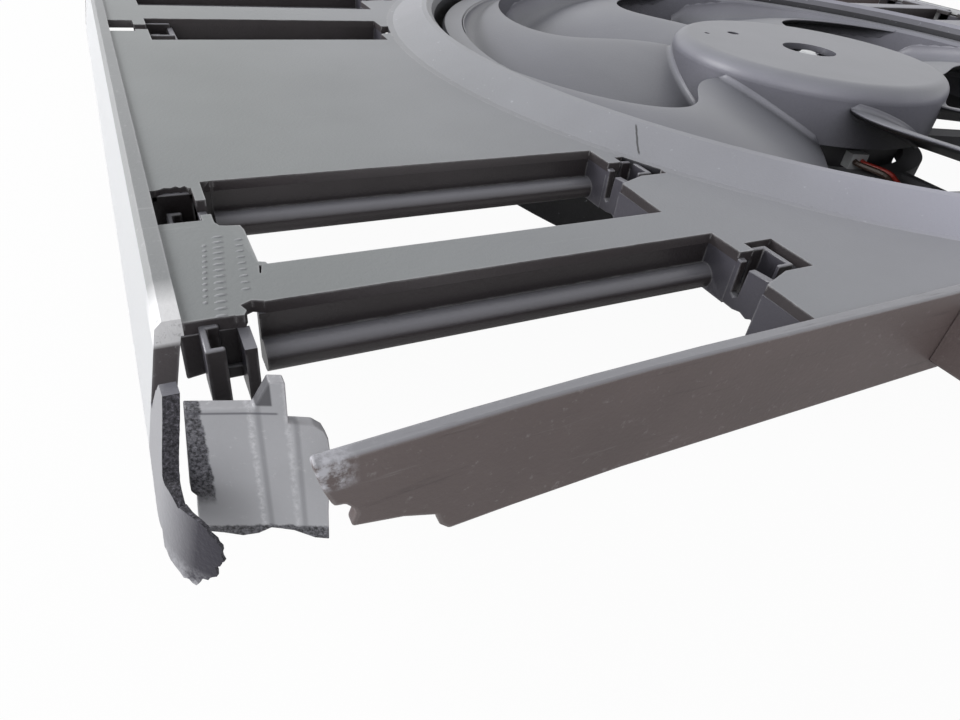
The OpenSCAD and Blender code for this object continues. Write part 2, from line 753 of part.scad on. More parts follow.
// Hoop around the blade tips, with a lip that covers the collar gap
module fan_hoop() {
    color(wheel_grey) rotate_extrude($fn = 180) polygon([[hoop_r, hoop_top - hoop_h],
        [hoop_r + hoop_t, hoop_top - hoop_h], [hoop_r + hoop_t, hoop_top - lip_t],
        [fan_r - 1, hoop_top - lip_t], [fan_r, hoop_top - lip_t + 1], [fan_r - 1.2, hoop_top],
        [hoop_r + 1.5, hoop_top], [hoop_r, hoop_top - 2]]);
}

module hub_insert() {
    color(steel) translate([0, 0, insert_z]) difference() {
        cylinder(r = insert_r, h = insert_l);
        translate([0, 0, -1]) cylinder(r = shaft_r, h = insert_l + 2);
    }
}

clip_t = 1;
clip_z = insert_z + insert_l;

// Spring washer that holds the wheel on the shaft
module retaining_clip() {
    color(steel) translate([0, 0, clip_z]) difference() {
        union() {
            cylinder(r = 8, h = clip_t);
            for (i = [0 : 2]) rotate([0, 0, 120 * i + 20]) translate([0, -2.5, 0]) cube([12.5, 5, clip_t]);
        }
        translate([0, 0, -1]) cylinder(r = shaft_r, h = clip_t + 2);
    }
}

shaft_top = hub_top_z - 1.2;
shaft_z = 3;
front_bearing_z = can_front_z - steel_t - bearing_l;
rear_bearing_z = 2.5;

module motor_shaft() {
    color(steel) translate([0, 0, shaft_z]) {
        cylinder(r = shaft_r, h = shaft_top - shaft_z - 1);
        translate([0, 0, shaft_top - shaft_z - 1]) cylinder(r1 = shaft_r, r2 = shaft_r - 1, h = 1);
    }
}

module bearing(z) {
    color(steel) translate([0, 0, z]) difference() {
        cylinder(r = bearing_r, h = bearing_l);
        translate([0, 0, -1]) cylinder(r = shaft_r + shaft_fit, h = bearing_l + 2);
    }
}

module front_bearing() { bearing(front_bearing_z); }
module rear_bearing() { bearing(rear_bearing_z); }

// Heights inside the motor
commutator_z = rear_bearing_z + bearing_l + 2;
commutator_l = 9;
core_z = commutator_z + commutator_l + 4;
end_turn = 4;

module armature_core() {
    slot_w = 2 * armature_r * sin(180 / slot_count) * 0.55;
    color([0.45, 0.46, 0.48]) translate([0, 0, core_z]) difference() {
        cylinder(r = armature_r, h = core_l);
        translate([0, 0, -1]) cylinder(r = shaft_r, h = core_l + 2);
        for (i = [0 : slot_count - 1]) rotate([0, 0, i * 360 / slot_count])
            translate([24, 0, -1]) {
                linear_extrude(core_l + 2) polygon([[0, -1.5], [armature_r - 27, -slot_w / 2],
                    [armature_r - 27, slot_w / 2], [0, 1.5]]);
                translate([0, -1, 0]) cube([armature_r, 2, core_l + 2]);
            }
    }
}

// Copper in the slots with rounded end turns above and below the core
module armature_windings() {
    slot_w = 2 * armature_r * sin(180 / slot_count) * 0.55;
    turn_in = 24.5;
    turn_out = armature_r - 3.5;
    color([0.72, 0.40, 0.20]) union() {
        for (z = [core_z + core_l, core_z - end_turn]) translate([0, 0, z]) difference() {
            cylinder(r = turn_out, h = end_turn);
            translate([0, 0, -1]) cylinder(r = turn_in, h = end_turn + 2);
        }
        for (i = [0 : slot_count - 1]) rotate([0, 0, i * 360 / slot_count])
            translate([24, 0, core_z]) linear_extrude(core_l)
                polygon([[0.8, -1.3], [armature_r - 27.5, -slot_w / 2 + 0.3],
                    [armature_r - 27.5, slot_w / 2 - 0.3], [0.8, 1.3]]);
    }
}

module commutator() {
    color([0.70, 0.45, 0.25]) translate([0, 0, commutator_z]) difference() {
        cylinder(r = commutator_r, h = commutator_l);
        translate([0, 0, -1]) cylinder(r = shaft_r, h = commutator_l + 2);
        for (i = [0 : slot_count - 1]) rotate([0, 0, (i + 0.5) * 360 / slot_count])
            translate([commutator_r - 1, -0.3, -1]) cube([2, 0.6, commutator_l + 2]);
    }
}

// Magnets and brushes; the leads pass between two magnets
pole_count = 4;
pole_gap = 16;
grommet_a = 256;
grommet_w = 10;
grommet_h = 8;
grommet_l = 8;
grommet_z = arm_top_z + grommet_h / 2;

module magnets() {
    magnet_r = motor_r - steel_t;
    arc = 360 / pole_count - pole_gap;
    color([0.22, 0.22, 0.24]) translate([0, 0, core_z - 3]) for (i = [0 : pole_count - 1])
        rotate([0, 0, grommet_a + pole_gap / 2 + i * 360 / pole_count])
            rotate_extrude(angle = arc, $fn = 144) translate([armature_r + air_gap, 0])
                square([magnet_r - armature_r - air_gap, core_l + 6]);
}

// Drawn steel can, closed at the fan end, with the front bearing's seat and three ears
module motor_can() {
    color([0.33, 0.34, 0.36]) difference() {
        union() {
            translate([0, 0, end_plate_t]) cylinder(r = motor_r, h = can_l);
            translate([0, 0, carrier_z - 2.5]) linear_extrude(2.5) union() {
                circle(r = motor_r + 1);
                for (i = [0 : 2]) rotate([0, 0, screw_angle(i)]) {
                    translate([screw_circle_r, 0]) circle(r = 7);
                    translate([0, -7]) square([screw_circle_r, 14]);
                }
            }
        }
        difference() {
            translate([0, 0, end_plate_t - 1]) cylinder(r = motor_r - steel_t, h = can_l + 1 - steel_t);
            translate([0, 0, front_bearing_z]) cylinder(r = bearing_r + 2, h = bearing_l + 10);
        }
        translate([0, 0, front_bearing_z - 1]) cylinder(r = bearing_r, h = bearing_l + 1);
        translate([0, 0, can_front_z - 10]) cylinder(r = shaft_r + 2, h = 20);
        at_screws() translate([0, 0, carrier_z - 5]) cylinder(r = screw_r + 0.3, h = 10, $fn = 32);
        rotate([0, 0, grommet_a]) translate([motor_r - 4, -grommet_w / 2, grommet_z - grommet_h / 2])
            cube([grommet_l, grommet_w, grommet_h]);
    }
}

card_t = 1.6;

module motor_end_plate() {
    color([0.45, 0.46, 0.48]) difference() {
        union() {
            cylinder(r1 = motor_r - 3, r2 = motor_r - 2.2, h = 2);
            translate([0, 0, 2]) cylinder(r = motor_r, h = end_plate_t - 2);
        }
        difference() {
            translate([0, 0, 3]) cylinder(r = motor_r - 6, h = end_plate_t);
            cylinder(r = bearing_r + 3, h = end_plate_t - card_t);
        }
        translate([0, 0, rear_bearing_z]) cylinder(r = bearing_r, h = end_plate_t);
    }
}

brush_w = 6;
brush_h = 6;
brush_l = 14;
brush_z = commutator_z + (commutator_l - brush_h) / 2;
brush_gap = 0.05;
holder_t = 1;
card_z = end_plate_t - card_t;
holder_l = 24;

module at_brushes() {
    for (i = [0 : pole_count - 1]) rotate([0, 0, i * 360 / pole_count])
        translate([commutator_r + brush_gap, 0, 0]) children();
}

// Card that carries the brush boxes
module brush_card() {
    color([0.55, 0.42, 0.28]) difference() {
        union() {
            translate([0, 0, card_z]) cylinder(r = motor_r - 6, h = card_t);
            at_brushes() translate([2, -brush_w / 2 - holder_t, card_z])
                cube([holder_l, brush_w + 2 * holder_t, brush_z + brush_h + holder_t - card_z]);
        }
        translate([0, 0, card_z - 1]) cylinder(r = commutator_r + 1, h = 40);
        at_brushes() translate([-3, -brush_w / 2 - 0.05, brush_z - 0.05])
            cube([holder_l + 3.5, brush_w + 0.1, brush_h + 0.1]);
    }
}

module brushes() {
    color([0.15, 0.15, 0.16]) difference() {
        at_brushes() translate([-1, -brush_w / 2, brush_z]) cube([brush_l + 1, brush_w, brush_h]);
        translate([0, 0, brush_z - 1]) cylinder(r = commutator_r + brush_gap, h = brush_h + 2);
    }
}

// Close-wound coil spring behind each brush, its turns touching
spring_turns = 12;
spring_coil = 2.1;
spring_l = holder_l - brush_l - 0.2;
spring_wire = spring_l / spring_turns / 2;

module brush_springs() {
    color(steel) at_brushes() translate([brush_l + 0.1, 0, brush_z + brush_h / 2])
        rotate([0, 90, 0]) rotate_extrude($fn = 32) for (i = [0 : spring_turns - 1])
            translate([spring_coil, spring_wire * (2 * i + 1)]) circle(r = 1.05 * spring_wire, $fn = 12);
}

// Screws that hold the motor's ears against the carrier
module motor_screws() {
    head_z = carrier_z - 2.5;
    color(steel) at_screws() {
        translate([0, 0, head_z]) cylinder(r = screw_r, h = 12, $fn = 32);
        difference() {
            translate([0, 0, head_z - 3.4]) cylinder(r = 5, h = 3.4, $fn = 32);
            translate([0, 0, head_z - 3.5]) cylinder(r = 2.4, h = 2.2, $fn = 6);
        }
    }
}

lead_r = 1.5;
lead_side = 2.2;
lead_fit = 0.1;

// Grommet in the can's side for the two leads
module lead_grommet() {
    color([0.55, 0.56, 0.57]) rotate([0, 0, grommet_a]) difference() {
        translate([motor_r - steel_t, -grommet_w / 2, grommet_z - grommet_h / 2])
            cube([grommet_l, grommet_w, grommet_h]);
        for (s = [-1, 1]) translate([motor_r - 4, s * lead_side, grommet_z])
            rotate([0, 90, 0]) cylinder(r = lead_r + lead_fit, h = 12, $fn = 24);
    }
}

// The leads run from the grommet, through the slot in the lead arm and along its channel
connector_in = 178;
connector_l = 26;
connector_w = 20;
connector_h = 15;
connector_z = carrier_z + channel_h - connector_h;
socket_w = 16;
socket_h = 8;
socket_l = 18;
socket_z = connector_z + 2;
pin_side = 3.5;
lead_z = carrier_z + channel_h - lead_r - 0.8;

function ahead(points, i) = let(n = len(points), a = points[max(i - 1, 0)], b = points[min(i + 1, n - 1)])
    (b - a) / norm(b - a);

module tube_along(points, r, sides = 8) {
    n = len(points);
    rings = [for (i = [0 : n - 1]) let(t = ahead(points, i), up = abs(t[2]) > 0.9 ? [1, 0, 0] : [0, 0, 1],
        s = cross(t, up) / norm(cross(t, up)), w = cross(s, t))
        [for (k = [0 : sides - 1]) points[i] + r * (s * cos(360 * k / sides) + w * sin(360 * k / sides))]];
    faces = concat(
        [for (i = [0 : n - 2]) for (k = [0 : sides - 1]) let(p = i * sides + k, q = i * sides + (k + 1) % sides)
            [p, q, q + sides, p + sides]],
        [[for (k = [sides - 1 : -1 : 0]) k]],
        [[for (k = [0 : sides - 1]) (n - 1) * sides + k]]);
    polyhedron(points = [for (ring = rings) for (p = ring) p], faces = faces);
}

// Smooth curve through a list of points
function spline_at(p, i, t) = let(n = len(p), a = p[max(i - 1, 0)], b = p[i], c = p[i + 1],
    d = p[min(i + 2, n - 1)]) 0.5 * ((2 * b) + (c - a) * t + (2 * a - 5 * b + 4 * c - d) * t * t
    + (3 * b - a - 3 * c + d) * t * t * t);
function spline(p, k) = [for (i = [0 : len(p) - 2]) for (j = [0 : k - 1]) spline_at(p, i, j / k), p[len(p) - 1]];

// Point at radius r and offset t across a direction a
function polar(a, r, t, z) = [r * cos(a) - t * sin(a), r * sin(a) + t * cos(a), z];

function lead_route(s) = let(g = grommet_a, a = arm_angles[0], o = s * lead_side)
    [polar(g, motor_r - steel_t + 0.5, o, grommet_z),
    polar(g, motor_r + 5, o, grommet_z),
    polar(g, motor_r + 10, o, grommet_z),
    polar(a, carrier_out + 4, o - 9, grommet_z - 1.5),
    polar(a, carrier_out + 8, o - 5.5, lead_z + 4.5),
    polar(a, carrier_out + 13, o - 2.5, lead_z + 0.8),
    polar(a, carrier_out + 22, o, lead_z),
    polar(a, carrier_out + 60, o, lead_z),
    polar(a, connector_in, o, lead_z)];

module lead_red() { color([0.55, 0.12, 0.10]) tube_along(spline(lead_route(1), 4), lead_r); }
module lead_brown() { color([0.25, 0.16, 0.12]) tube_along(spline(lead_route(-1), 4), lead_r); }

// Socket at the end of the channel; the plug comes in from outside, under the collar
module lead_connector() {
    color([0.15, 0.15, 0.16]) rotate([0, 0, arm_angles[0]]) difference() {
        translate([connector_in, -connector_w / 2, connector_z]) cube([connector_l, connector_w, connector_h]);
        translate([connector_in + connector_l - socket_l, -socket_w / 2, socket_z])
            cube([socket_l + 1, socket_w, socket_h]);
    }
}

module connector_pins() {
    color([0.75, 0.66, 0.40]) rotate([0, 0, arm_angles[0]]) for (s = [-1, 1])
        translate([connector_in + connector_l - socket_l, s * pin_side - 1.4, socket_z + socket_h / 2 - 0.4])
            cube([socket_l - 4, 2.8, 0.8]);
}

// Bars across the channel that keep the leads in it
module lead_clips() {
    color([0.12, 0.12, 0.13]) rotate([0, 0, arm_angles[0]]) for (r = [120, 160])
        translate([r, -channel_w / 2, carrier_z]) cube([4, channel_w, lead_z - lead_r - carrier_z]);
}

panel_left();
panel_right();
side_wall_left();
side_wall_right();
near_rail_left();
near_rail_right();
far_rail_left();
far_rail_right();
shroud_corners();
corner_plate();
corner_skin();
window_walls_left();
window_walls_right();
flap_hooks();
bevel_ring();
ring_skirts();
fan_collar();
stator_arms();
motor_carrier();
mounting_lugs();
lug_bushes();
locating_tabs();
fan_hub();
fan_blades();
fan_hoop();
hub_insert();
retaining_clip();
motor_shaft();
armature_core();
armature_windings();
commutator();
motor_can();
motor_end_plate();
magnets();
front_bearing();
rear_bearing();
brush_card();
brushes();
brush_springs();
motor_screws();
lead_grommet();
lead_red();
lead_brown();
lead_connector();
connector_pins();
lead_clips();
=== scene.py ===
import math
from collections import namedtuple
from functools import partial

import bmesh
import bpy
import numpy as np
from mathutils import Matrix, Vector, geometry


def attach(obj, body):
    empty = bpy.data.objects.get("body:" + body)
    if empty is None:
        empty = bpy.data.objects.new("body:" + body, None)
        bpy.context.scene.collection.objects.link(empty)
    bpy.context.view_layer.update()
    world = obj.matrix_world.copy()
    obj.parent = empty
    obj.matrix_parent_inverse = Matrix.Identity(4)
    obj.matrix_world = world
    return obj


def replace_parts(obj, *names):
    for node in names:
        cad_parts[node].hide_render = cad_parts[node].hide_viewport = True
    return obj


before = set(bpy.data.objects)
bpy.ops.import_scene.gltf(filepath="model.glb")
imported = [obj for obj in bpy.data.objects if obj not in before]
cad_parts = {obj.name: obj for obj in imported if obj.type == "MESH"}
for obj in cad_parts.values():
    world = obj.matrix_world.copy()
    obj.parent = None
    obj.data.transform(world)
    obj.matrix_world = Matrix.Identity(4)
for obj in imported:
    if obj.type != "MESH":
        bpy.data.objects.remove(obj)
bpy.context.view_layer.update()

# Driving dimensions, in metres where the shaders use them and in mm where the meshes do

MM = 0.001


def reach_of(name, axis):
    """Furthest point of a node along an axis, rounded to a tenth of a millimetre."""
    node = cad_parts[name]
    return round(max((node.matrix_world @ v.co)[axis] for v in node.data.vertices), 4)


PANEL_Z = reach_of("panel_left", 2)
PANEL_T = 0.003
UNDER_PANEL = PANEL_Z - PANEL_T
HALF_W = 0.366
HALF_H = 0.215
SHARP_ANGLE = 0.35

# Shader helpers


def nodes_of(name, rough=0.5, metal=0.0):
    m = bpy.data.materials.new(name)
    m.use_nodes = True
    t = m.node_tree
    b = t.nodes["Principled BSDF"]
    b.inputs["Roughness"].default_value = rough
    b.inputs["Metallic"].default_value = metal
    b.inputs["Specular IOR Level"].default_value = 0.5
    return m, t, b


def coords(t, stretch=(1, 1, 1), turn=(0, 0, 0)):
    c = t.nodes.new("ShaderNodeTexCoord")
    p = t.nodes.new("ShaderNodeMapping")
    p.inputs["Scale"].default_value = stretch
    p.inputs["Rotation"].default_value = turn
    t.links.new(c.outputs["Object"], p.inputs["Vector"])
    return p.outputs["Vector"]


def noise(t, vector, scale, detail=4.0, rough=0.6):
    n = t.nodes.new("ShaderNodeTexNoise")
    n.inputs["Scale"].default_value = scale
    n.inputs["Detail"].default_value = detail
    n.inputs["Roughness"].default_value = rough
    t.links.new(vector, n.inputs["Vector"])
    return n.outputs["Fac"]


def ramp(t, value, stops):
    r = t.nodes.new("ShaderNodeValToRGB")
    e = r.color_ramp.elements
    while len(e) > 1:
        e.remove(e[-1])
    e[0].position = stops[0][0]
    e[0].color = (*stops[0][1], 1)
    for place, colour in stops[1:]:
        e.new(place).color = (*colour, 1)
    t.links.new(value, r.inputs["Fac"])
    return r.outputs["Color"]


def mix(t, fac, a, b, kind="MIX"):
    m = t.nodes.new("ShaderNodeMix")
    m.data_type = "RGBA"
    m.blend_type = kind
    for value, slot in ((fac, m.inputs[0]), (a, m.inputs[6]), (b, m.inputs[7])):
        if isinstance(value, (int, float)):
            slot.default_value = value
        elif isinstance(value, tuple):
            slot.default_value = (*value, 1)
        else:
            t.links.new(value, slot)
    return m.outputs[2]


def calc(t, op, *values):
    n = t.nodes.new("ShaderNodeMath")
    n.operation = op
    for slot, value in zip(n.inputs, values):
        if isinstance(value, (int, float)):
            slot.default_value = value
        else:
            t.links.new(value, slot)
    return n.outputs[0]


def times(t, first, *others):
    for value in others:
        first = calc(t, "MULTIPLY", first, value)
    return first


def spread(t, value, low, high, start=0.0, end=1.0):
    """Runs from start to end while value runs from low to high."""
    r = t.nodes.new("ShaderNodeMapRange")
    for key, number in (("From Min", low), ("From Max", high), ("To Min", start), ("To Max", end)):
        r.inputs[key].default_value = number
    t.links.new(value, r.inputs["Value"])
    return r.outputs["Result"]


def above(t, value, limit, soft):
    return spread(t, value, limit, limit + soft)


def below(t, value, limit, soft):
    return spread(t, value, limit + soft, limit)


def band(t, value, middle, half, soft):
    d = calc(t, "ABSOLUTE", calc(t, "SUBTRACT", value, middle))
    return spread(t, d, half, half + soft, 1.0, 0.0)


def split(t, vector):
    s = t.nodes.new("ShaderNodeSeparateXYZ")
    t.links.new(vector, s.inputs[0])
    return s.outputs


def axes(t):
    return split(t, coords(t))


def normal(t):
    return t.nodes.new("ShaderNodeNewGeometry").outputs["Normal"]


def bump(t, b, height, strength, distance=0.0004):
    k = t.nodes.new("ShaderNodeBump")
    k.inputs["Strength"].default_value = strength
    k.inputs["Distance"].default_value = distance
    t.links.new(height, k.inputs["Height"])
    t.links.new(k.outputs["Normal"], b.inputs["Normal"])


# Share of a face that looks up, where the painted sheen of the tops goes
def up_facing(t):
    return spread(t, split(t, normal(t))["Z"], 0.25, 0.8)


# Share of a face that turns to X, where the painted light of the end colour goes
def side_facing(t, low, high):
    return spread(t, calc(t, "ABSOLUTE", split(t, normal(t))["X"]), low, high)


def edge_mask(t, radius=0.0009):
    """1 on edges, where the rounded normal leaves the real one."""
    rounded = t.nodes.new("ShaderNodeBevel")
    rounded.samples = 4
    rounded.inputs["Radius"].default_value = radius
    d = t.nodes.new("ShaderNodeVectorMath")
    d.operation = "DOT_PRODUCT"
    t.links.new(rounded.outputs["Normal"], d.inputs[0])
    t.links.new(normal(t), d.inputs[1])
    return spread(t, d.outputs["Value"], 0.99, 0.86)


# Ambient occlusion, which places painted shade in recesses
def occlusion_shade(t, distance):
    ao = t.nodes.new("ShaderNodeAmbientOcclusion")
    ao.samples = 8
    ao.inputs["Distance"].default_value = distance
    return ao.outputs["AO"]


def scratches(t, turn, scale, level=0.66, soft=0.07, thin=0.05):
    return above(t, noise(t, coords(t, (thin, 1, 1), turn), scale, 5.0, 0.7), level, soft)


def speckle(t, low, high, scale=1400.0):
    return spread(t, noise(t, coords(t), scale, 4.0, 0.7), low, high)


def wobble_of(t, scale, size):
    """Small uneven shift, by which a drawn line or edge wanders."""
    return spread(t, noise(t, coords(t), scale, 3.0), 0.0, 1.0, -size, size)


def tint(t, col, mask, power, colour):
    return mix(t, times(t, mask, power), col, colour)


def shade(colour, k):
    return tuple(c * k for c in colour)


# Materials

WHITE = (1.0, 1.0, 1.0)
BLACK = (0.0, 0.0, 0.0)
CLOUDS = 14.0
GRAIN = 900.0
SCRATCH_SETS = ((240.0, (0, 0.5, 0.2)), (330.0, (0, -0.3, 0.9)))
SCRATCH = (0.62, 0.62, 0.64)
SPOT = (0.75, 0.75, 0.77)
# Colour of rubbed edges, with a painted highlight on them
WORN_AND_LIT = (0.60, 0.60, 0.62)
# X over which the painted reflection on the tops comes in
RIGHT_FROM, RIGHT_TO = -0.33, -0.10
TOP_CLOUDS = (0.93, 1.07)
SIDE_CLOUDS = (0.85, 1.2)
PLAIN_CLOUDS = (0.9, 1.08)


def clouded(t, value, colour, shades):
    """The colour, darker and lighter by the two shades in soft clouds."""
    return ramp(t, value, [(0.3, shade(colour, shades[0])), (0.7, shade(colour, shades[1]))])


def moulded(name, top, side, rough=0.5, grain=0.25, spots=0.0, end=None, right=None, wear_and_highlight=0.0, crease_shade=0.0,
            lines=0.0, extra=None, turn_from=(0.6, 0.92), reach=0.05):
    """Moulded plastic, with light and shade painted into its colour.

    top, side and end are the colours of faces that look up, along Y and along X: lit and shaded copies of one
    plastic, with a painted sheen on the tops, painted shade on the sides and painted light on the ends. The
    right colour, the top's colour at the wheel, is a painted reflection. spots and lines are the strengths of
    specks and scratches, and the wear strength is that of rubbed edges with a painted highlight on them. The
    hollow strength is painted shade on what lies within reach of other faces, and extra adds the marks of one
    piece.
    """
    m, t, b = nodes_of(name, rough)
    v = coords(t)
    big = noise(t, v, CLOUDS, 3.0)
    fine = noise(t, v, GRAIN, 2.0)
    # Towards the wheel the top turns to the right colour: a painted reflection of the sky
    if right:
        top = mix(t, spread(t, axes(t)["X"], RIGHT_FROM, RIGHT_TO), top, right)
        tops = mix(t, 1.0, top, clouded(t, big, WHITE, TOP_CLOUDS), "MULTIPLY")
    else:
        tops = clouded(t, big, top, TOP_CLOUDS)
    sides = clouded(t, big, side, SIDE_CLOUDS)
    # Faces that turn to X take the end colour: painted light
    if end:
        sides = mix(t, side_facing(t, *turn_from), sides, end)
    # Painted sheen on the faces that look up, painted shade on the sides
    col = mix(t, up_facing(t), sides, tops)
    # Painted shade where other faces are near
    if crease_shade:
        dark = spread(t, occlusion_shade(t, reach), 0.25, 0.95, 1.0 - crease_shade, 1.0)
        col = mix(t, 1.0, col, mix(t, dark, BLACK, WHITE), "MULTIPLY")
    if lines:
        for scale, turn in SCRATCH_SETS:
            col = tint(t, col, scratches(t, turn, scale), lines, SCRATCH)
    if spots:
        specks = above(t, noise(t, v, 420.0, 6.0, 0.75), 0.60, 0.08)
        col = tint(t, col, specks, spots, SPOT)
    # Rubbed edges with a painted highlight, all but the seam under the panel
    if wear_and_highlight:
        seam = band(t, axes(t)["Z"], UNDER_PANEL, 0.0010, 0.0004)
        patchy = spread(t, noise(t, v, 160.0, 4.0), 0.35, 0.6, 0.25, 1.0)
        rub_and_highlight = times(t, edge_mask(t), patchy, calc(t, "SUBTRACT", 1.0, seam))
        col = tint(t, col, rub_and_highlight, wear_and_highlight, WORN_AND_LIT)
    if extra:
        col = extra(t, col)
    t.links.new(col, b.inputs["Base Color"])
    bump(t, b, fine, grain)
    return m


def granular(name, dark, light):
    """Rough fracture."""
    m, t, b = nodes_of(name, 0.7)
    n = noise(t, coords(t), 1500.0, 4.0, 0.7)
    between = tuple((p + q) / 3 for p, q in zip(dark, light))
    t.links.new(ramp(t, n, [(0.38, dark), (0.56, between), (0.68, light)]), b.inputs["Base Color"])
    bump(t, b, n, 0.9, 0.0008)
    return m


def plain(name, colour, rough=0.5, metal=0.0):
    m, t, b = nodes_of(name, rough, metal)
    n = noise(t, coords(t), 400.0, 3.0)
    t.links.new(clouded(t, n, colour, PLAIN_CLOUDS), b.inputs["Base Color"])
    bump(t, b, n, 0.1, 0.0002)
    return m


# Marks of single pieces; their places are in metres, heights from the panel's top

# Ridges of the slanting wall, drawn as painted light and shade: place and strength of each crest's painted
# highlight
RIDGES = ((0.0126, 0.65), (0.0188, 0.5))
RIDGE_SHADE = 0.0014
STRIP_SIDE, STRIP_LOW = 0.0045, -0.030
PLATE_TEAR = -0.0364
PLATE_LINE_Z, PLATE_LINE_END = -0.0062, 0.017
GUSSET_LOW, GUSSET_END = -0.0046, 0.0163
SCUFF_X, SCUFF_Y, SCUFF_LOW = -0.32, -0.166, -0.0052
RAIL_END_X, RAIL_END_LOW = -0.3430, -0.0062
RAIL_TURN = (0, 0.62, 0)
# Top of the painted reflection at the skin's tip
REFLECTION_TOP = -0.0360
CRACK_AT, CRACK_LEAN = -153.0, 3.0
CRACK_FROM, CRACK_TO = 0.2250, 0.2365
CRACK_SOFT = 0.001
# Where the painted reflection on the bevel begins, in X and Y
REFLECTION_X, REFLECTION_Y = -0.175, -0.13


def plate_marks(t, col):
    """Ridges painted as a highlight along each crest with painted shade beside it, granular strip and torn
    edge, line and gusset of the slanting wall.
    """
    x = calc(t, "ADD", axes(t)["X"], HALF_W)
    z = calc(t, "SUBTRACT", axes(t)["Z"], PANEL_Z)
    wobble = wobble_of(t, 500.0, 0.0008)
    jag = calc(t, "ADD", x, wobble)
    grains = mix(t, speckle(t, 0.40, 0.66), (0.012, 0.012, 0.016), (0.22, 0.22, 0.25))
    for place, power in RIDGES:
        # Painted highlight along each crest, and painted shade just beside it
        crest_highlight = times(t, band(t, jag, place, 0.0001, 0.0006), speckle(t, 0.36, 0.6, 900.0))
        col = tint(t, col, crest_highlight, power, (0.80, 0.80, 0.84))
        col = tint(t, col, band(t, x, place + RIDGE_SHADE, 0.0002, 0.0005), 0.35, (0.10, 0.10, 0.12))
    tear = below(t, calc(t, "ADD", z, times(t, wobble, 1.2)), PLATE_TEAR, 0.0006)
    strip = times(t, below(t, jag, STRIP_SIDE, 0.0004), above(t, z, STRIP_LOW, 0.003))
    col = mix(t, calc(t, "MAXIMUM", tear, strip), col, grains)
    line = times(t, band(t, z, PLATE_LINE_Z, 0.0001, 0.0003), below(t, x, PLATE_LINE_END, 0.0005))
    col = tint(t, col, line, 0.7, (0.08, 0.08, 0.10))
    gusset = times(t, above(t, z, GUSSET_LOW, 0.0004), below(t, x, GUSSET_END, 0.0003))
    return tint(t, col, gusset, 0.85, (0.05, 0.05, 0.06))


def rim_marks(t, col):
    """Pale scuffs where the rim of the side wall ends."""
    x, y, z = axes(t)
    rim = above(t, z, PANEL_Z + SCUFF_LOW, 0.0012)
    near = times(t, below(t, y, SCUFF_Y, 0.010), rim, below(t, x, SCUFF_X, 0.02))
    return mix(t, times(t, near, speckle(t, 0.20, 0.40, 300.0)), col, (0.95, 0.95, 0.97))


def rail_marks(t, col):
    """Pale torn bit at the left end of the near rail, and long diagonal scratches."""
    x, _, z = axes(t)
    top = above(t, calc(t, "SUBTRACT", z, PANEL_Z), RAIL_END_LOW, 0.0016)
    end = times(t, below(t, x, RAIL_END_X, 0.003), top)
    col = mix(t, times(t, end, speckle(t, 0.40, 0.62, 420.0)), col, (0.55, 0.55, 0.60))
    return tint(t, col, scratches(t, RAIL_TURN, 330.0, 0.60, 0.08, 0.06), 0.35, (0.035, 0.028, 0.028))


def skin_tip_reflection(t, col):
    """A pale, speckled painted reflection at the tip of the torn skin."""
    z = calc(t, "SUBTRACT", axes(t)["Z"], PANEL_Z)
    # Painted reflection on the lower tip of the skin
    tip = times(t, below(t, z, REFLECTION_TOP, 0.0035), speckle(t, 0.42, 0.62, 420.0))
    return tint(t, col, tip, 0.7, (0.50, 0.50, 0.54))


def ring_marks(t, col):
    """A crack across the bevel, a paler near left part that is a painted reflection, and a few scuffs."""
    x, y, _ = axes(t)
    r = calc(t, "SQRT", calc(t, "ADD", times(t, x, x), times(t, y, y)))
    lean = times(t, calc(t, "SUBTRACT", r, CRACK_FROM + CRACK_SOFT), CRACK_LEAN)
    turn = calc(t, "ADD", calc(t, "ARCTAN2", y, x), wobble_of(t, 180.0, 0.002))
    line = band(t, calc(t, "SUBTRACT", turn, lean), math.radians(CRACK_AT), 0.0009, 0.0014)
    crack = times(t, line, above(t, r, CRACK_FROM, CRACK_SOFT), below(t, r, CRACK_TO, CRACK_SOFT))
    # Painted reflection, paler and bluer, on the near part of the bevel
    painted_reflection = times(t, above(t, x, REFLECTION_X, 0.05), below(t, y, REFLECTION_Y, 0.03))
    col = tint(t, col, painted_reflection, 0.4, (0.66, 0.66, 0.80))
    col = tint(t, col, crack, 0.85, (0.02, 0.02, 0.02))
    return tint(t, col, speckle(t, 0.66, 0.70, 260.0), 0.5, (0.62, 0.64, 0.68))


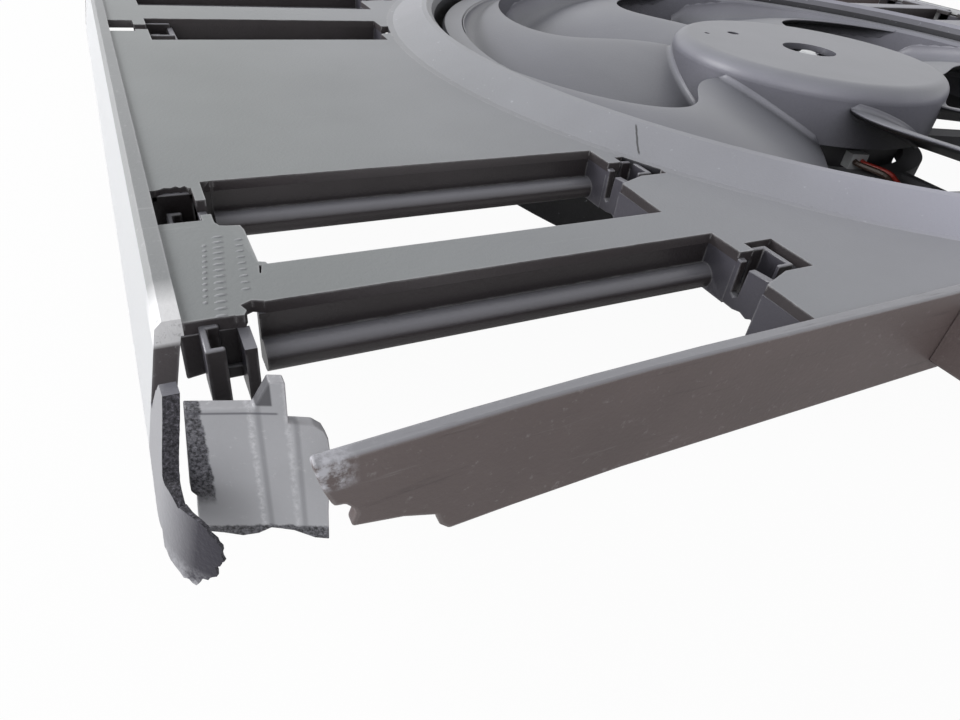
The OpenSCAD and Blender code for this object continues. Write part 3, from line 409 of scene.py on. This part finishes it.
# Each moulded material's top and side colours are one plastic lit and shaded: the tops carry a painted sheen,
# the sides painted shade, and the end colours painted light
DARK_SIDE = (0.045, 0.039, 0.042)
MAT = {
    "panel": moulded("panel", (0.275, 0.290, 0.297), DARK_SIDE, 0.42, right=(0.305, 0.305, 0.355), wear_and_highlight=0.55,
                     lines=0.10),
    "wall": moulded("wall", (0.24, 0.24, 0.27), DARK_SIDE, 0.32, wear_and_highlight=0.3, crease_shade=0.4,
                    end=(0.085, 0.082, 0.10)),
    # The rim's pale end colour is painted glare from the left on its outer faces, with some dust
    "rim": moulded("rim", (0.31, 0.32, 0.33), (0.115, 0.104, 0.108), 0.4, spots=0.25, end=(0.66, 0.67, 0.69),
                   wear_and_highlight=0.5, lines=0.25, extra=rim_marks),
    "rail": moulded("rail", (0.33, 0.33, 0.36), (0.135, 0.107, 0.105), 0.42, spots=0.12, wear_and_highlight=0.5, lines=0.12,
                    extra=rail_marks),
    "plate": moulded("plate", (0.47, 0.47, 0.50), (0.46, 0.465, 0.495), 0.45, spots=0.35, wear_and_highlight=0.4,
                     lines=0.12, extra=plate_marks),
    # The skin's end colour is painted light on its left, rounded face; its front stays in painted shade
    "skin": moulded("skin", (0.16, 0.16, 0.19), (0.018, 0.016, 0.030), 0.3, end=(0.34, 0.34, 0.37),
                    extra=skin_tip_reflection, turn_from=(0.80, 1.0)),
    "torn": granular("torn", (0.010, 0.010, 0.014), (0.26, 0.25, 0.30)),
    "ring": moulded("ring", (0.30, 0.312, 0.315), (0.085, 0.085, 0.10), 0.4, right=(0.36, 0.36, 0.42),
                    wear_and_highlight=0.3, crease_shade=0.95, extra=ring_marks, reach=0.12),
    # The dashes are painted lighter than the panel, as highlights on their domes
    "dash": moulded("dash", (0.42, 0.43, 0.45), (0.30, 0.31, 0.33), 0.35),
    # The wheel's sides are painted lighter than its tops: painted light on the hub's side
    "wheel": moulded("wheel", (0.26, 0.265, 0.30), (0.34, 0.34, 0.40), 0.40, 0.15, crease_shade=0.97, lines=0.06,
                     reach=0.12),
    "under": moulded("under", (0.12, 0.12, 0.13), (0.07, 0.07, 0.075), 0.5),
    "steel": plain("steel", (0.55, 0.56, 0.58), 0.3, 1.0),
    "can": plain("can", (0.03, 0.03, 0.033), 0.35),
    "alloy": plain("alloy", (0.45, 0.46, 0.47), 0.45, 1.0),
    "copper": plain("copper", (0.62, 0.30, 0.14), 0.35, 1.0),
    "ferrite": plain("ferrite", (0.05, 0.05, 0.055), 0.6),
    "card": plain("card", (0.35, 0.24, 0.13), 0.6),
    "rubber": plain("rubber", (0.38, 0.39, 0.40), 0.6),
    "red": plain("red", (0.36, 0.03, 0.02), 0.4),
    "brown": plain("brown", (0.05, 0.03, 0.022), 0.4),
    "black": plain("black", (0.02, 0.02, 0.022), 0.4),
}
USE = {
    "panel": "panel_left panel_right",
    "wall": "window_walls_left window_walls_right flap_hooks",
    "rim": "side_wall_left side_wall_right shroud_corners",
    "rail": "near_rail_left near_rail_right far_rail_left far_rail_right locating_tabs mounting_lugs",
    "plate": "corner_plate",
    "skin": "corner_skin",
    "ring": "bevel_ring ring_skirts fan_collar",
    "wheel": "fan_hub fan_blades fan_hoop",
    "under": "stator_arms motor_carrier",
    "steel": "lug_bushes hub_insert retaining_clip motor_shaft front_bearing rear_bearing brush_springs "
             "motor_screws armature_core",
    "can": "motor_can",
    "alloy": "motor_end_plate connector_pins",
    "copper": "armature_windings commutator",
    "ferrite": "magnets brushes",
    "card": "brush_card",
    "rubber": "lead_grommet",
    "red": "lead_red",
    "brown": "lead_brown",
    "black": "lead_connector lead_clips",
}
for key, names in USE.items():
    for n in names.split():
        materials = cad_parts[n].data.materials
        materials.clear()
        materials.append(MAT[key])

# Mesh helpers


def smooth(mesh, angle=None):
    """Smooth shading, with sharp edges past the angle."""
    for p in mesh.polygons:
        p.use_smooth = True
    if angle:
        mesh.set_sharp_from_angle(angle=angle)


def add_bevel(o, width, method):
    m = o.modifiers.new("bevel", "BEVEL")
    m.width = width
    m.segments = 2
    m.limit_method = method
    return m


def finish_mesh(name, bm, mat, width=0.0, body="shroud", angle=0.6):
    """Makes the piece from its mesh and lets it ride on the body."""
    bmesh.ops.recalc_face_normals(bm, faces=bm.faces)
    me = bpy.data.meshes.new(name)
    bm.to_mesh(me)
    bm.free()
    smooth(me, angle)
    me.materials.append(MAT[mat])
    o = bpy.data.objects.new(name, me)
    bpy.context.collection.objects.link(o)
    if width:
        add_bevel(o, width, "ANGLE").angle_limit = 0.6
    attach(o, body)
    return o


def prism(bm, points, place, low, high):
    """A solid over the outline points; place gives the world point of one outline point and a height."""
    a = [bm.verts.new(place(p, q, low)) for p, q in points]
    b = [bm.verts.new(place(p, q, high)) for p, q in points]
    n = len(points)
    bm.faces.new(a[::-1])
    bm.faces.new(b)
    for i in range(n):
        k = (i + 1) % n
        bm.faces.new((a[i], a[k], b[k], b[i]))


def rect(p0, q0, p1, q1):
    return [(p0, q0), (p1, q0), (p1, q1), (p0, q1)]


def on_panel(x, y, z):
    return Vector((x * MM, y * MM, PANEL_Z + z * MM))


# Soft edges: a shown copy of each moulded node, with its edges rounded but for the seam under the panel

SOFT_EDGES = ("panel_left panel_right side_wall_left side_wall_right near_rail_left near_rail_right "
              "far_rail_left far_rail_right corner_plate window_walls_left window_walls_right stator_arms "
              "locating_tabs mounting_lugs")


def softened(name, width=0.0006, angle=0.6):
    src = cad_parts[name]
    o = src.copy()
    o.data = src.data.copy()
    o.name = "soft_" + name
    bpy.context.collection.objects.link(o)
    bm = bmesh.new()
    bm.from_mesh(o.data)
    bmesh.ops.remove_doubles(bm, verts=bm.verts, dist=2e-6)
    bmesh.ops.dissolve_limit(bm, angle_limit=0.02, verts=bm.verts, edges=bm.edges)
    weight = bm.edges.layers.float.new("bevel_weight_edge")
    for e in bm.edges:
        sharp = len(e.link_faces) == 2 and e.calc_face_angle(0) > angle
        seam = all(abs(v.co.z - UNDER_PANEL) < 0.0001 for v in e.verts)
        e[weight] = 1.0 if sharp and not seam else 0.0
    bm.to_mesh(o.data)
    bm.free()
    add_bevel(o, width, "WEIGHT")
    smooth(o.data, SHARP_ANGLE)
    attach(o, "shroud")
    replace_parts(o, name)
    return o


SOFT = {n: softened(n) for n in SOFT_EDGES.split()}

# Windows. A row has the Y of its far edge, its width and how much shorter its windows are. A window's
# places are u outwards and v towards the near rail from its inner far corner, and z up from the panel's top,
# all in mm

Row = namedtuple("Row", "far width shorter")
ROWS = (Row(-168.7, 43.3, 0.0), Row(-106.2, 47.5, 0.0), Row(79.0, 38.0, 14.0), Row(153.7, 47.5, 0.0),
        Row(212.0, 43.3, 0.0))
BROKEN_ROW, SECOND_ROW = ROWS[0], ROWS[1]
WIDE_ROW = 40
WINDOW_IN = 222.0
WINDOW_L = 124.0
SIDE_IN = 139.0


def at_window(row, u, v, z, sign=-1):
    return Vector((sign * (WINDOW_IN + u) * MM, (row.far - v) * MM, PANEL_Z + z * MM))


def windows():
    """Each window's side, row, length, and whether it is the broken one."""
    for sign in (-1, 1):
        for row in ROWS:
            yield sign, row, WINDOW_L - row.shorter, row is BROKEN_ROW and sign < 0


def channel(u0, v0, reach, width, way):
    """Outline of a hook, open towards the window; way is 1 where its back is the outer side."""
    back = u0 + reach * way
    inside = back - HOOK_T * way
    return [(u0, v0), (back, v0), (back, v0 + width), (u0, v0 + width), (u0, v0 + width - HOOK_T),
            (inside, v0 + width - HOOK_T), (inside, v0 + HOOK_T), (u0, v0 + HOOK_T)]


# Hooks of the flaps: a channel on a foot at each end of a window. The inner and the outer one have their u,
# v, reach, width and top, and the outer one's u is from the window's end
FINE_EDGE = 0.0004
HOOK_H = 15.0
HOOK_T = 1.3
FOOT_H = 3.0
INNER_U, INNER_V, INNER_REACH, INNER_W, INNER_TOP = -6.6, 9.0, 5.2, 11.0, -0.8
OUTER_U, OUTER_V, OUTER_REACH, OUTER_W, OUTER_TOP = 8.5, 6.6, 3.8, 9.3, -5.0
OUTER_FOOT_W = 1.4
BROKEN_V, BROKEN_TOP = 3.0, -1.4
INNER_SEAT, OUTER_SEAT = -2.4, 2.6


def flap_hooks():
    bm = bmesh.new()
    for sign, row, length, broken in windows():
        plan = partial(at_window, row, sign=sign)
        v = BROKEN_V if broken else OUTER_V
        foot_top = -HOOK_H + FOOT_H
        prism(bm, channel(INNER_U, INNER_V, INNER_REACH, INNER_W, -1), plan, -HOOK_H, INNER_TOP)
        prism(bm, channel(length + OUTER_U, v, OUTER_REACH, OUTER_W, 1), plan, -HOOK_H,
              BROKEN_TOP if broken else OUTER_TOP)
        prism(bm, rect(length + OUTER_SEAT, v, length + OUTER_U, v + OUTER_FOOT_W), plan, -HOOK_H, foot_top)
        prism(bm, rect(INNER_U, INNER_V, INNER_SEAT, INNER_V + HOOK_T), plan, -HOOK_H, foot_top)
    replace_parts(finish_mesh("hooks", bm, "wall", width=FINE_EDGE), "flap_hooks")


flap_hooks()

# Walls around the pockets. The outline of an inner end wall, in v and z, has the slot and the ragged lower
# edge; that of the broken pocket's wall is in u and z
END_WALL = [(9.0, -1.5), (13.0, -2.2), (13.2, -11.6), (14.4, -12.4), (15.6, -11.8), (16.0, -3),
            (22.6, -2.4), (24.6, -1.5), (26.2, -8.0), (25.0, -13.2), (24.0, -15.6), (22.2, -15.0),
            (20.6, -15.9), (18.2, -15.2), (15.4, -15.9), (9.0, -15.8)]
BROKEN_WALL = [(127.0, -3), (SIDE_IN + 1, -3), (SIDE_IN + 1, -14), (136.2, -13.4), (133.2, -11.6),
               (131.6, -12.6), (130.2, -15), (127.0, -15)]
BROKEN_WALL_V = (1.3, 3.3)
END_WALL_T = 2.4
SEAT_GAP = 0.03
POCKET_U, POCKET_SIDE_U, POCKET_END = 2.6, 3.6, 15.0
POCKET_V, POCKET_V_END = 2.0, 24.5
POCKET_T = 1.5
POCKET_FRONT_T, POCKET_FRONT_TOP = 2.4, -3.2
POCKET_LOW, POCKET_TOP = -14.0, -1.5
FAR_WALL_L, FAR_WALL_LOW = 5.0, -14.4


def pocket_walls():
    bm = bmesh.new()
    for sign, row, length, broken in windows():
        plan = partial(at_window, row, sign=sign)
        if row.width > WIDE_ROW:
            prism(bm, END_WALL, lambda p, q, u: at_window(row, u, p, q, sign), -END_WALL_T, -SEAT_GAP)
        if broken:
            prism(bm, BROKEN_WALL, lambda p, q, v: at_window(row, p, v, q), *BROKEN_WALL_V)
            continue
        near, side, out = (length + u for u in (POCKET_U, POCKET_SIDE_U, POCKET_END))
        for v in (POCKET_V, POCKET_V_END - POCKET_T):
            prism(bm, rect(side, v, out, v + POCKET_T), plan, POCKET_LOW, POCKET_TOP)
        front = rect(near, POCKET_V, near + POCKET_FRONT_T, POCKET_V_END)
        prism(bm, front, plan, POCKET_LOW, POCKET_FRONT_TOP)
        prism(bm, rect(near, POCKET_V, out, POCKET_V_END), plan, POCKET_LOW - POCKET_T, POCKET_LOW)
    prism(bm, rect(WINDOW_L - 1, -END_WALL_T, WINDOW_L + FAR_WALL_L, -SEAT_GAP),
          partial(at_window, SECOND_ROW), FAR_WALL_LOW, POCKET_TOP)
    finish_mesh("pocket_walls", bm, "wall", FINE_EDGE)


pocket_walls()

# Rows of small moulded dashes on the panel beside the broken corner: count, first place, way to the last one,
# length, width and height
DASH_ROWS = ((11, (-352.5, -142.2), (-3.3, -23.9), 1.1, 0.9, 0.3),
             (14, (-349.0, -138.6), (-4.5, -33.0), 2.9, 0.8, 0.28),
             (9, (-344.8, -141.0), (-2.4, -22.0), 2.2, 0.7, 0.25))
DASH_SIDES = 12
DASH_SINK = 0.05
SHOULDER, SHOULDER_H = 0.7, 0.75


def dash(bm, x, y, length, width, high):
    """A low oval dome with a shoulder, as shares of its size and height."""
    turns = [k * 2 * math.pi / DASH_SIDES for k in range(DASH_SIDES)]
    ring = [(x + length / 2 * math.cos(a), y + width / 2 * math.sin(a)) for a in turns]
    low = [bm.verts.new(on_panel(p, q, -DASH_SINK)) for p, q in ring]
    mid = [bm.verts.new(on_panel(x + (p - x) * SHOULDER, y + (q - y) * SHOULDER, SHOULDER_H * high))
           for p, q in ring]
    top = bm.verts.new(on_panel(x, y, high))
    for k in range(DASH_SIDES):
        n = (k + 1) % DASH_SIDES
        bm.faces.new((low[k], low[n], mid[n], mid[k]))
        bm.faces.new((mid[k], mid[n], top))


def dashes():
    bm = bmesh.new()
    for count, (x, y), (dx, dy), length, width, high in DASH_ROWS:
        for k in range(count):
            f = k / (count - 1)
            dash(bm, x + dx * f, y + dy * f, length, width, high)
    finish_mesh("dashes", bm, "dash")


dashes()

# Changes to the shown panel: the outer end of the second row's window and pocket, with the step beside it, in
# u and v, and the torn left end and a notch of the bar beside the broken corner, in X and Y
FAR_END = [(123.0, -0.05), (126.4, 0.3), (126.5, 11.6), (126.5, 24.6), (125.6, 26.6), (123.0, 27.4)]
POCKET_EDGE = [(129.4, 3.8), (130.4, 2.0), (131.6, 3.0), (132.6, 1.8), (133.8, 2.7), (135.4, 2.2),
               (136.4, 3.0), (138.4, 3.8)]
STEP = [(121.0, 27.5), (124.6, 27.0), (124.6, 47.8), (118.6, 47.8), (119.0, 46.6), (120.5, 46.0),
        (120.5, 30.0)]
TORN = [(-344.6, -168.5), (-346.9, -167.5), (-349.4, -168.8), (-348.6, -171.0), (-349.8, -173.6),
        (-348.9, -176.0), (-350.0, -178.4), (-345.0, -179.0)]
NOTCH = [(-342.1, -154.0), (-342.9, -157.4), (-343.2, -157.2), (-342.6, -153.6)]
CUT_LOW, CUT_HIGH = -3.6, 0.6


def change(o, outlines, low=CUT_LOW, high=CUT_HIGH, kind="DIFFERENCE"):
    """Cuts the outlines out of the mesh, or adds them to it, ahead of its bevel."""
    bm = bmesh.new()
    for points in outlines:
        prism(bm, points, on_panel, low, high)
    bmesh.ops.recalc_face_normals(bm, faces=bm.faces)
    me = bpy.data.meshes.new("cutter")
    bm.to_mesh(me)
    bm.free()
    cutter = bpy.data.objects.new("cutter", me)
    bpy.context.collection.objects.link(cutter)
    bevel = o.modifiers["bevel"]
    bevel.show_viewport = False
    m = o.modifiers.new("cut", "BOOLEAN")
    m.operation = kind
    m.solver = "EXACT"
    m.object = cutter
    old = o.data
    o.data = bpy.data.meshes.new_from_object(o.evaluated_get(bpy.context.evaluated_depsgraph_get()))
    o.modifiers.remove(m)
    bevel.show_viewport = True
    smooth(o.data, SHARP_ANGLE)
    bpy.data.objects.remove(cutter)
    bpy.data.meshes.remove(old)


def in_row(row, points):
    return [(-(WINDOW_IN + u), row.far - v) for u, v in points]


change(SOFT["panel_left"], [in_row(SECOND_ROW, FAR_END), in_row(SECOND_ROW, POCKET_EDGE)])
change(SOFT["panel_left"], [TORN, NOTCH])
change(SOFT["panel_left"], [in_row(SECOND_ROW, STEP)], -PANEL_T / MM, 0.0, "UNION")

# Torn skin of the corner: a sheet that gets thicker away from the near rail. The outline is y from the
# shroud's near side and z from the panel's top, in mm
SKIN = [(43, -18), (43, -30), (32, -31.4), (21.6, -32.2), (20.6, -34.0), (19.8, -35.2), (18.6, -35.4),
        (17.1, -36.4), (14.8, -36.6), (13.0, -37.6), (11.6, -36.9), (10.1, -37.4), (9.6, -35.8), (9.2, -34.5),
        (8.4, -34.2), (7.5, -32.9), (6.9, -32.3), (7.0, -31.7), (7.4, -30.2), (6.9, -29.4), (6.9, -28.6),
        (6.3, -27.7), (6.9, -26.0), (7.0, -24.6), (7.8, -23.2), (8.8, -22.4), (9.4, -21.4), (10.1, -21.1),
        (11.6, -20.5), (13.3, -20.7), (14.6, -20.7), (15.9, -21.3), (17.8, -20.4), (19.5, -20.2),
        (21.4, -20.3), (23.3, -19.8), (24.4, -15.4), (25, -12.4), (25.4, -9.6), (26.2, -7.2), (27.5, -4.5),
        (29.6, -4.9), (33, -6), (36.4, -10), (39, -14), (41, -18)]
CORNER_R = 26.0
FLARE = 6.0 / 30.0
SKIN_TOP = -4.5
SKIN_THIN, SKIN_GAIN, SKIN_GAIN_FROM, SKIN_GAIN_L = 0.7, 2.3, 11.0, 11.5
GRAIN_FROM = 27.3
TEAR_STEP = 0.7
TEAR_SHAKE = 0.16
TEAR_ALL_TO, TEAR_LOW_TO, TEAR_LOW = 27, 40, -6.5
GRID_Y, GRID_Z, GRID_STEP = (6, 43), (-38, -4), 1.0


def skin_thickness(y):
    return SKIN_THIN + SKIN_GAIN * min(1.0, max(0.0, (y - SKIN_GAIN_FROM) / SKIN_GAIN_L)) ** 1.3


def skin_point(y, z, inner):
    """A point of the sheet: straight along the side, then round the corner, flaring out downwards."""
    t = skin_thickness(y) if inner else 0.0
    left = -HALF_W / MM + FLARE * z
    if y >= CORNER_R:
        return Vector(((left + t) * MM, -HALF_H + y * MM, PANEL_Z + z * MM))
    a = math.asin(min(1.0, (CORNER_R - y) / CORNER_R))
    r = CORNER_R - t
    x, y = left + CORNER_R - r * math.cos(a), CORNER_R - r * math.sin(a)
    return Vector((x * MM, -HALF_H + y * MM, PANEL_Z + z * MM))


def torn_outline():
    """The skin's outline in short steps, shaken where it is torn."""
    rng = np.random.default_rng(5)
    edge = []
    for i, p in enumerate(SKIN):
        q = SKIN[(i + 1) % len(SKIN)]
        n = max(1, int(math.dist(p, q) / TEAR_STEP))
        for k in range(n):
            f = k / n
            y, z = p[0] + (q[0] - p[0]) * f, p[1] + (q[1] - p[1]) * f
            if y < TEAR_ALL_TO or y < TEAR_LOW_TO and z < TEAR_LOW:
                y += rng.uniform(-TEAR_SHAKE, TEAR_SHAKE)
                z += rng.uniform(-TEAR_SHAKE, TEAR_SHAKE)
            edge.append(Vector((y, min(z, SKIN_TOP))))
    return edge


def torn_skin():
    edge = torn_outline()
    inside = [Vector((y, z)) for y in np.arange(*GRID_Y, GRID_STEP) for z in np.arange(*GRID_Z, GRID_STEP)]
    outline = list(range(len(edge)))
    places, _, triangles, *_ = geometry.delaunay_2d_cdt(edge + inside, [], [outline], 1, 1e-4)
    bm = bmesh.new()
    outer = [bm.verts.new(skin_point(v.x, v.y, False)) for v in places]
    inner = [bm.verts.new(skin_point(v.x, v.y, True)) for v in places]
    uses = {}
    for f in triangles:
        bm.faces.new([outer[i] for i in f])
        bm.faces.new([inner[i] for i in f[::-1]])
        for side in zip(f, f[1:] + f[:1]):
            key = tuple(sorted(side))
            uses[key] = uses.get(key, 0) + 1
    for (a, b), n in uses.items():
        if n == 1:
            f = bm.faces.new((outer[a], outer[b], inner[b], inner[a]))
            f.material_index = 0 if min(places[a].x, places[b].x) > GRAIN_FROM else 1
    bmesh.ops.delete(bm, geom=[v for v in bm.verts if not v.link_faces], context="VERTS")
    o = finish_mesh("torn_skin", bm, "skin", angle=0.5)
    o.data.materials.append(MAT["torn"])
    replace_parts(o, "corner_skin")


torn_skin()

# Fan blades: the CAD's surface on a finer grid, with fillets at the hub and the hoop, in mm and degrees
HUB_R = reach_of("fan_hub", 0) / MM
HOOP_R = 200.0
HOOP_TOP = reach_of("fan_hoop", 2) / MM
BLADES, FIRST = 7, 189.0
# Angle from leading to trailing edge at the hub, and what the hoop's end has less
CHORD, CHORD_LOSS = 46, 8
# Sweep of the leading edge, the share of the span where it ends, and the hook forward at the hoop
SWEEP, SWEEP_END, TIP_HOOK = 14, 0.55, 26
# Height of the leading edge at the hub, its rise to the hoop, and the drop to the trailing edge
LEAD_Z, LEAD_RISE = 60, 3
DROP, DROP_GAIN, DROP_POWER = 20, 2, 1.5
# Thickness at the hub, what the hoop's end has less, and how the nose and the tail thin out
ROOT_T, TIP_THINNER = 3.4, 1
NOSE, NOSE_SHARE, TAIL_LOSS = 0.1, 0.2, 0.7
# Fillets above and below, which shrink towards the two edges; the one at the hoop stays under the hoop's top
HOOP_FILLET, HOOP_GAP, HOOP_LEAST, HUB_FILLET = 15.0, 0.4, 0.3, 3.0
HOOP_UNDER, HUB_UNDER = 5.0, 2.0
END_SHARE = 0.06
# Overlap into the hub and the hoop, and the grid
SINK_HUB, SINK_HOOP = 0.5, 0.6
SPAN_STEPS, CHORD_STEPS = 40, 44


def bell(x):
    return (1 - math.cos(math.pi * x)) / 2


def sweep(u):
    """Angle of the leading edge: back from the hub, then forward again to the hoop."""
    hook = max(0, (u - SWEEP_END) / (1 - SWEEP_END))
    return SWEEP * bell(min(max(u, 0) / SWEEP_END, 1)) - TIP_HOOK * hook ** 2


def fillet(d, r):
    """Rise of a round fillet of radius r at distance d from the wall."""
    d = max(d, 0.0)
    return 0.0 if d >= r else r - math.sqrt(max(r * r - (r - d) ** 2, 0.0))


def blade_point(r, v, side):
    """Point at radius r and share v of the chord, on the upper side (0) or the lower one (1)."""
    u = min(max((r - HUB_R) / (HOOP_R - HUB_R), 0.0), 1.0)
    a = math.radians(sweep(u) + (CHORD - CHORD_LOSS * u - sweep(u)) * v)
    z = LEAD_Z + LEAD_RISE * u - (DROP + DROP_GAIN * u) * v ** DROP_POWER
    ends = min(1.0, v / END_SHARE, (1 - v) / END_SHARE)
    if side == 0:
        room = max(HOOP_TOP - HOOP_GAP - z, HOOP_LEAST)
        z += fillet(HOOP_R - r, min(HOOP_FILLET, room) * (0.5 + 0.5 * ends))
        z += fillet(r - HUB_R, HUB_FILLET * max(ends, 0.2))
    else:
        t = ROOT_T - TIP_THINNER * u
        if v < NOSE:
            t *= math.sqrt(max(v, 0) / NOSE) * (1 - NOSE_SHARE) + NOSE_SHARE
        else:
            t *= 1 - TAIL_LOSS * ((v - NOSE) / (1 - NOSE)) ** 2
        least = max(ends, 0.1)
        z -= t
        z -= fillet(HOOP_R - r, HOOP_UNDER * least) + fillet(r - HUB_R, HUB_UNDER * least)
    return r * math.cos(a), r * math.sin(a), z


def blade_radii():
    """Radii of the grid, close together in the fillets."""
    near = [HUB_R + HUB_FILLET * (1 - math.sin(math.radians(x))) for x in range(90, -1, -15)]
    far = [HOOP_R - HOOP_FILLET * (1 - math.sin(math.radians(x))) for x in range(0, 91, 6)]
    middle = list(np.linspace(HUB_R + HUB_FILLET, HOOP_R - HOOP_FILLET, SPAN_STEPS))[1:-1]
    return [HUB_R - SINK_HUB] + near + middle + far + [HOOP_R + SINK_HOOP]


def blade(bm, turn, rs, vs):
    a, b = [[[bm.verts.new(turn @ (Vector(blade_point(r, v, side)) * MM)) for v in vs] for r in rs]
            for side in (0, 1)]
    for i in range(len(rs) - 1):
        for j in range(len(vs) - 1):
            bm.faces.new((a[i][j], a[i + 1][j], a[i + 1][j + 1], a[i][j + 1]))
            bm.faces.new((b[i][j], b[i][j + 1], b[i + 1][j + 1], b[i + 1][j]))
        for j in (0, len(vs) - 1):
            q = (a[i][j], b[i][j], b[i + 1][j], a[i + 1][j])
            bm.faces.new(q if j == 0 else q[::-1])


def blade_wheel():
    rs = blade_radii()
    vs = [bell(i / CHORD_STEPS) for i in range(CHORD_STEPS + 1)]
    bm = bmesh.new()
    for k in range(BLADES):
        blade(bm, Matrix.Rotation(math.radians(FIRST + k * 360 / BLADES), 4, "Z"), rs, vs)
    bmesh.ops.remove_doubles(bm, verts=bm.verts, dist=1e-7)
    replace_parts(finish_mesh("blades", bm, "wheel", body="fan", angle=None), "fan_blades")


blade_wheel()

# Stage: pale floor, soft studio light, the photo's camera

scene = bpy.context.scene
scene.view_settings.view_transform = "Standard"
FLOOR_SIZE = 12
FLOOR_COLOUR = (0.92, 0.92, 0.92, 1)
FLOOR_GLOW = 0.96
WORLD_LIGHT = 0.34


def pale_floor():
    """Floor that the camera sees almost white, with a trace of the object's shadow."""
    bpy.ops.mesh.primitive_plane_add(size=FLOOR_SIZE, location=(0, 0, 0))
    floor = bpy.context.object
    floor.name = "floor"
    m, t, b = nodes_of("floor", 0.9)
    b.inputs["Base Color"].default_value = FLOOR_COLOUR
    path = t.nodes.new("ShaderNodeLightPath")
    glow = t.nodes.new("ShaderNodeEmission")
    glow.inputs["Strength"].default_value = 1.0
    both = t.nodes.new("ShaderNodeMixShader")
    t.links.new(times(t, path.outputs["Is Camera Ray"], FLOOR_GLOW), both.inputs[0])
    t.links.new(b.outputs[0], both.inputs[1])
    t.links.new(glow.outputs[0], both.inputs[2])
    t.links.new(both.outputs[0], t.nodes["Material Output"].inputs["Surface"])
    floor.data.materials.append(m)


def pale_world():
    """White to the camera and in reflections, and a plain level of light for everything else."""
    world = bpy.data.worlds.new("world")
    scene.world = world
    world.use_nodes = True
    t = world.node_tree
    sky = t.nodes["Background"]
    sky.inputs["Color"].default_value = (1, 1, 1, 1)
    path = t.nodes.new("ShaderNodeLightPath")
    seen = calc(t, "MAXIMUM", path.outputs["Is Camera Ray"], path.outputs["Is Glossy Ray"])
    t.links.new(spread(t, seen, 0.0, 1.0, WORLD_LIGHT, 1.0), sky.inputs["Strength"])


def lamp(name, place, aim, size, power):
    d = bpy.data.lights.new(name, "AREA")
    d.size = size
    d.energy = power
    o = bpy.data.objects.new(name, d)
    o.location = place
    o.rotation_euler = (Vector(aim) - Vector(place)).to_track_quat("-Z", "Y").to_euler()
    bpy.context.collection.objects.link(o)


pale_floor()
pale_world()
lamp("key", (-1.8, 1.1, 0.95), (0, 0, 0.05), 0.9, 27)
lamp("left", (-2.0, 0.1, 0.45), (-0.36, 0, 0.05), 1.0, 3)
lamp("fill", (-1.5, -1.4, 1.0), (0, 0, 0.05), 1.4, 11)

# Camera, solved from the photo's straight edges and the ring; the focal length is in the photo's pixels
PHOTO_W = 960.0
FOCAL_PX = 679.79
SENSOR = 36.0
CAMERA_AT = (-0.364, -0.292, 0.146)
CAMERA_RIGHT = (0.8942, -0.4353, 0.1042)
CAMERA_FORWARD = (0.4048, 0.6870, -0.6035)


def photo_camera():
    data = bpy.data.cameras.new("camera")
    data.sensor_width = SENSOR
    data.lens = SENSOR * FOCAL_PX / PHOTO_W
    data.clip_start = 0.005
    cam = bpy.data.objects.new("camera", data)
    bpy.context.collection.objects.link(cam)
    forward = Vector(CAMERA_FORWARD).normalized()
    up = Vector(CAMERA_RIGHT).normalized().cross(forward).normalized()
    right = forward.cross(up).normalized()
    turn = Matrix((right, up, -forward)).transposed().to_4x4()
    cam.matrix_world = Matrix.Translation(CAMERA_AT) @ turn
    scene.camera = cam


photo_camera()
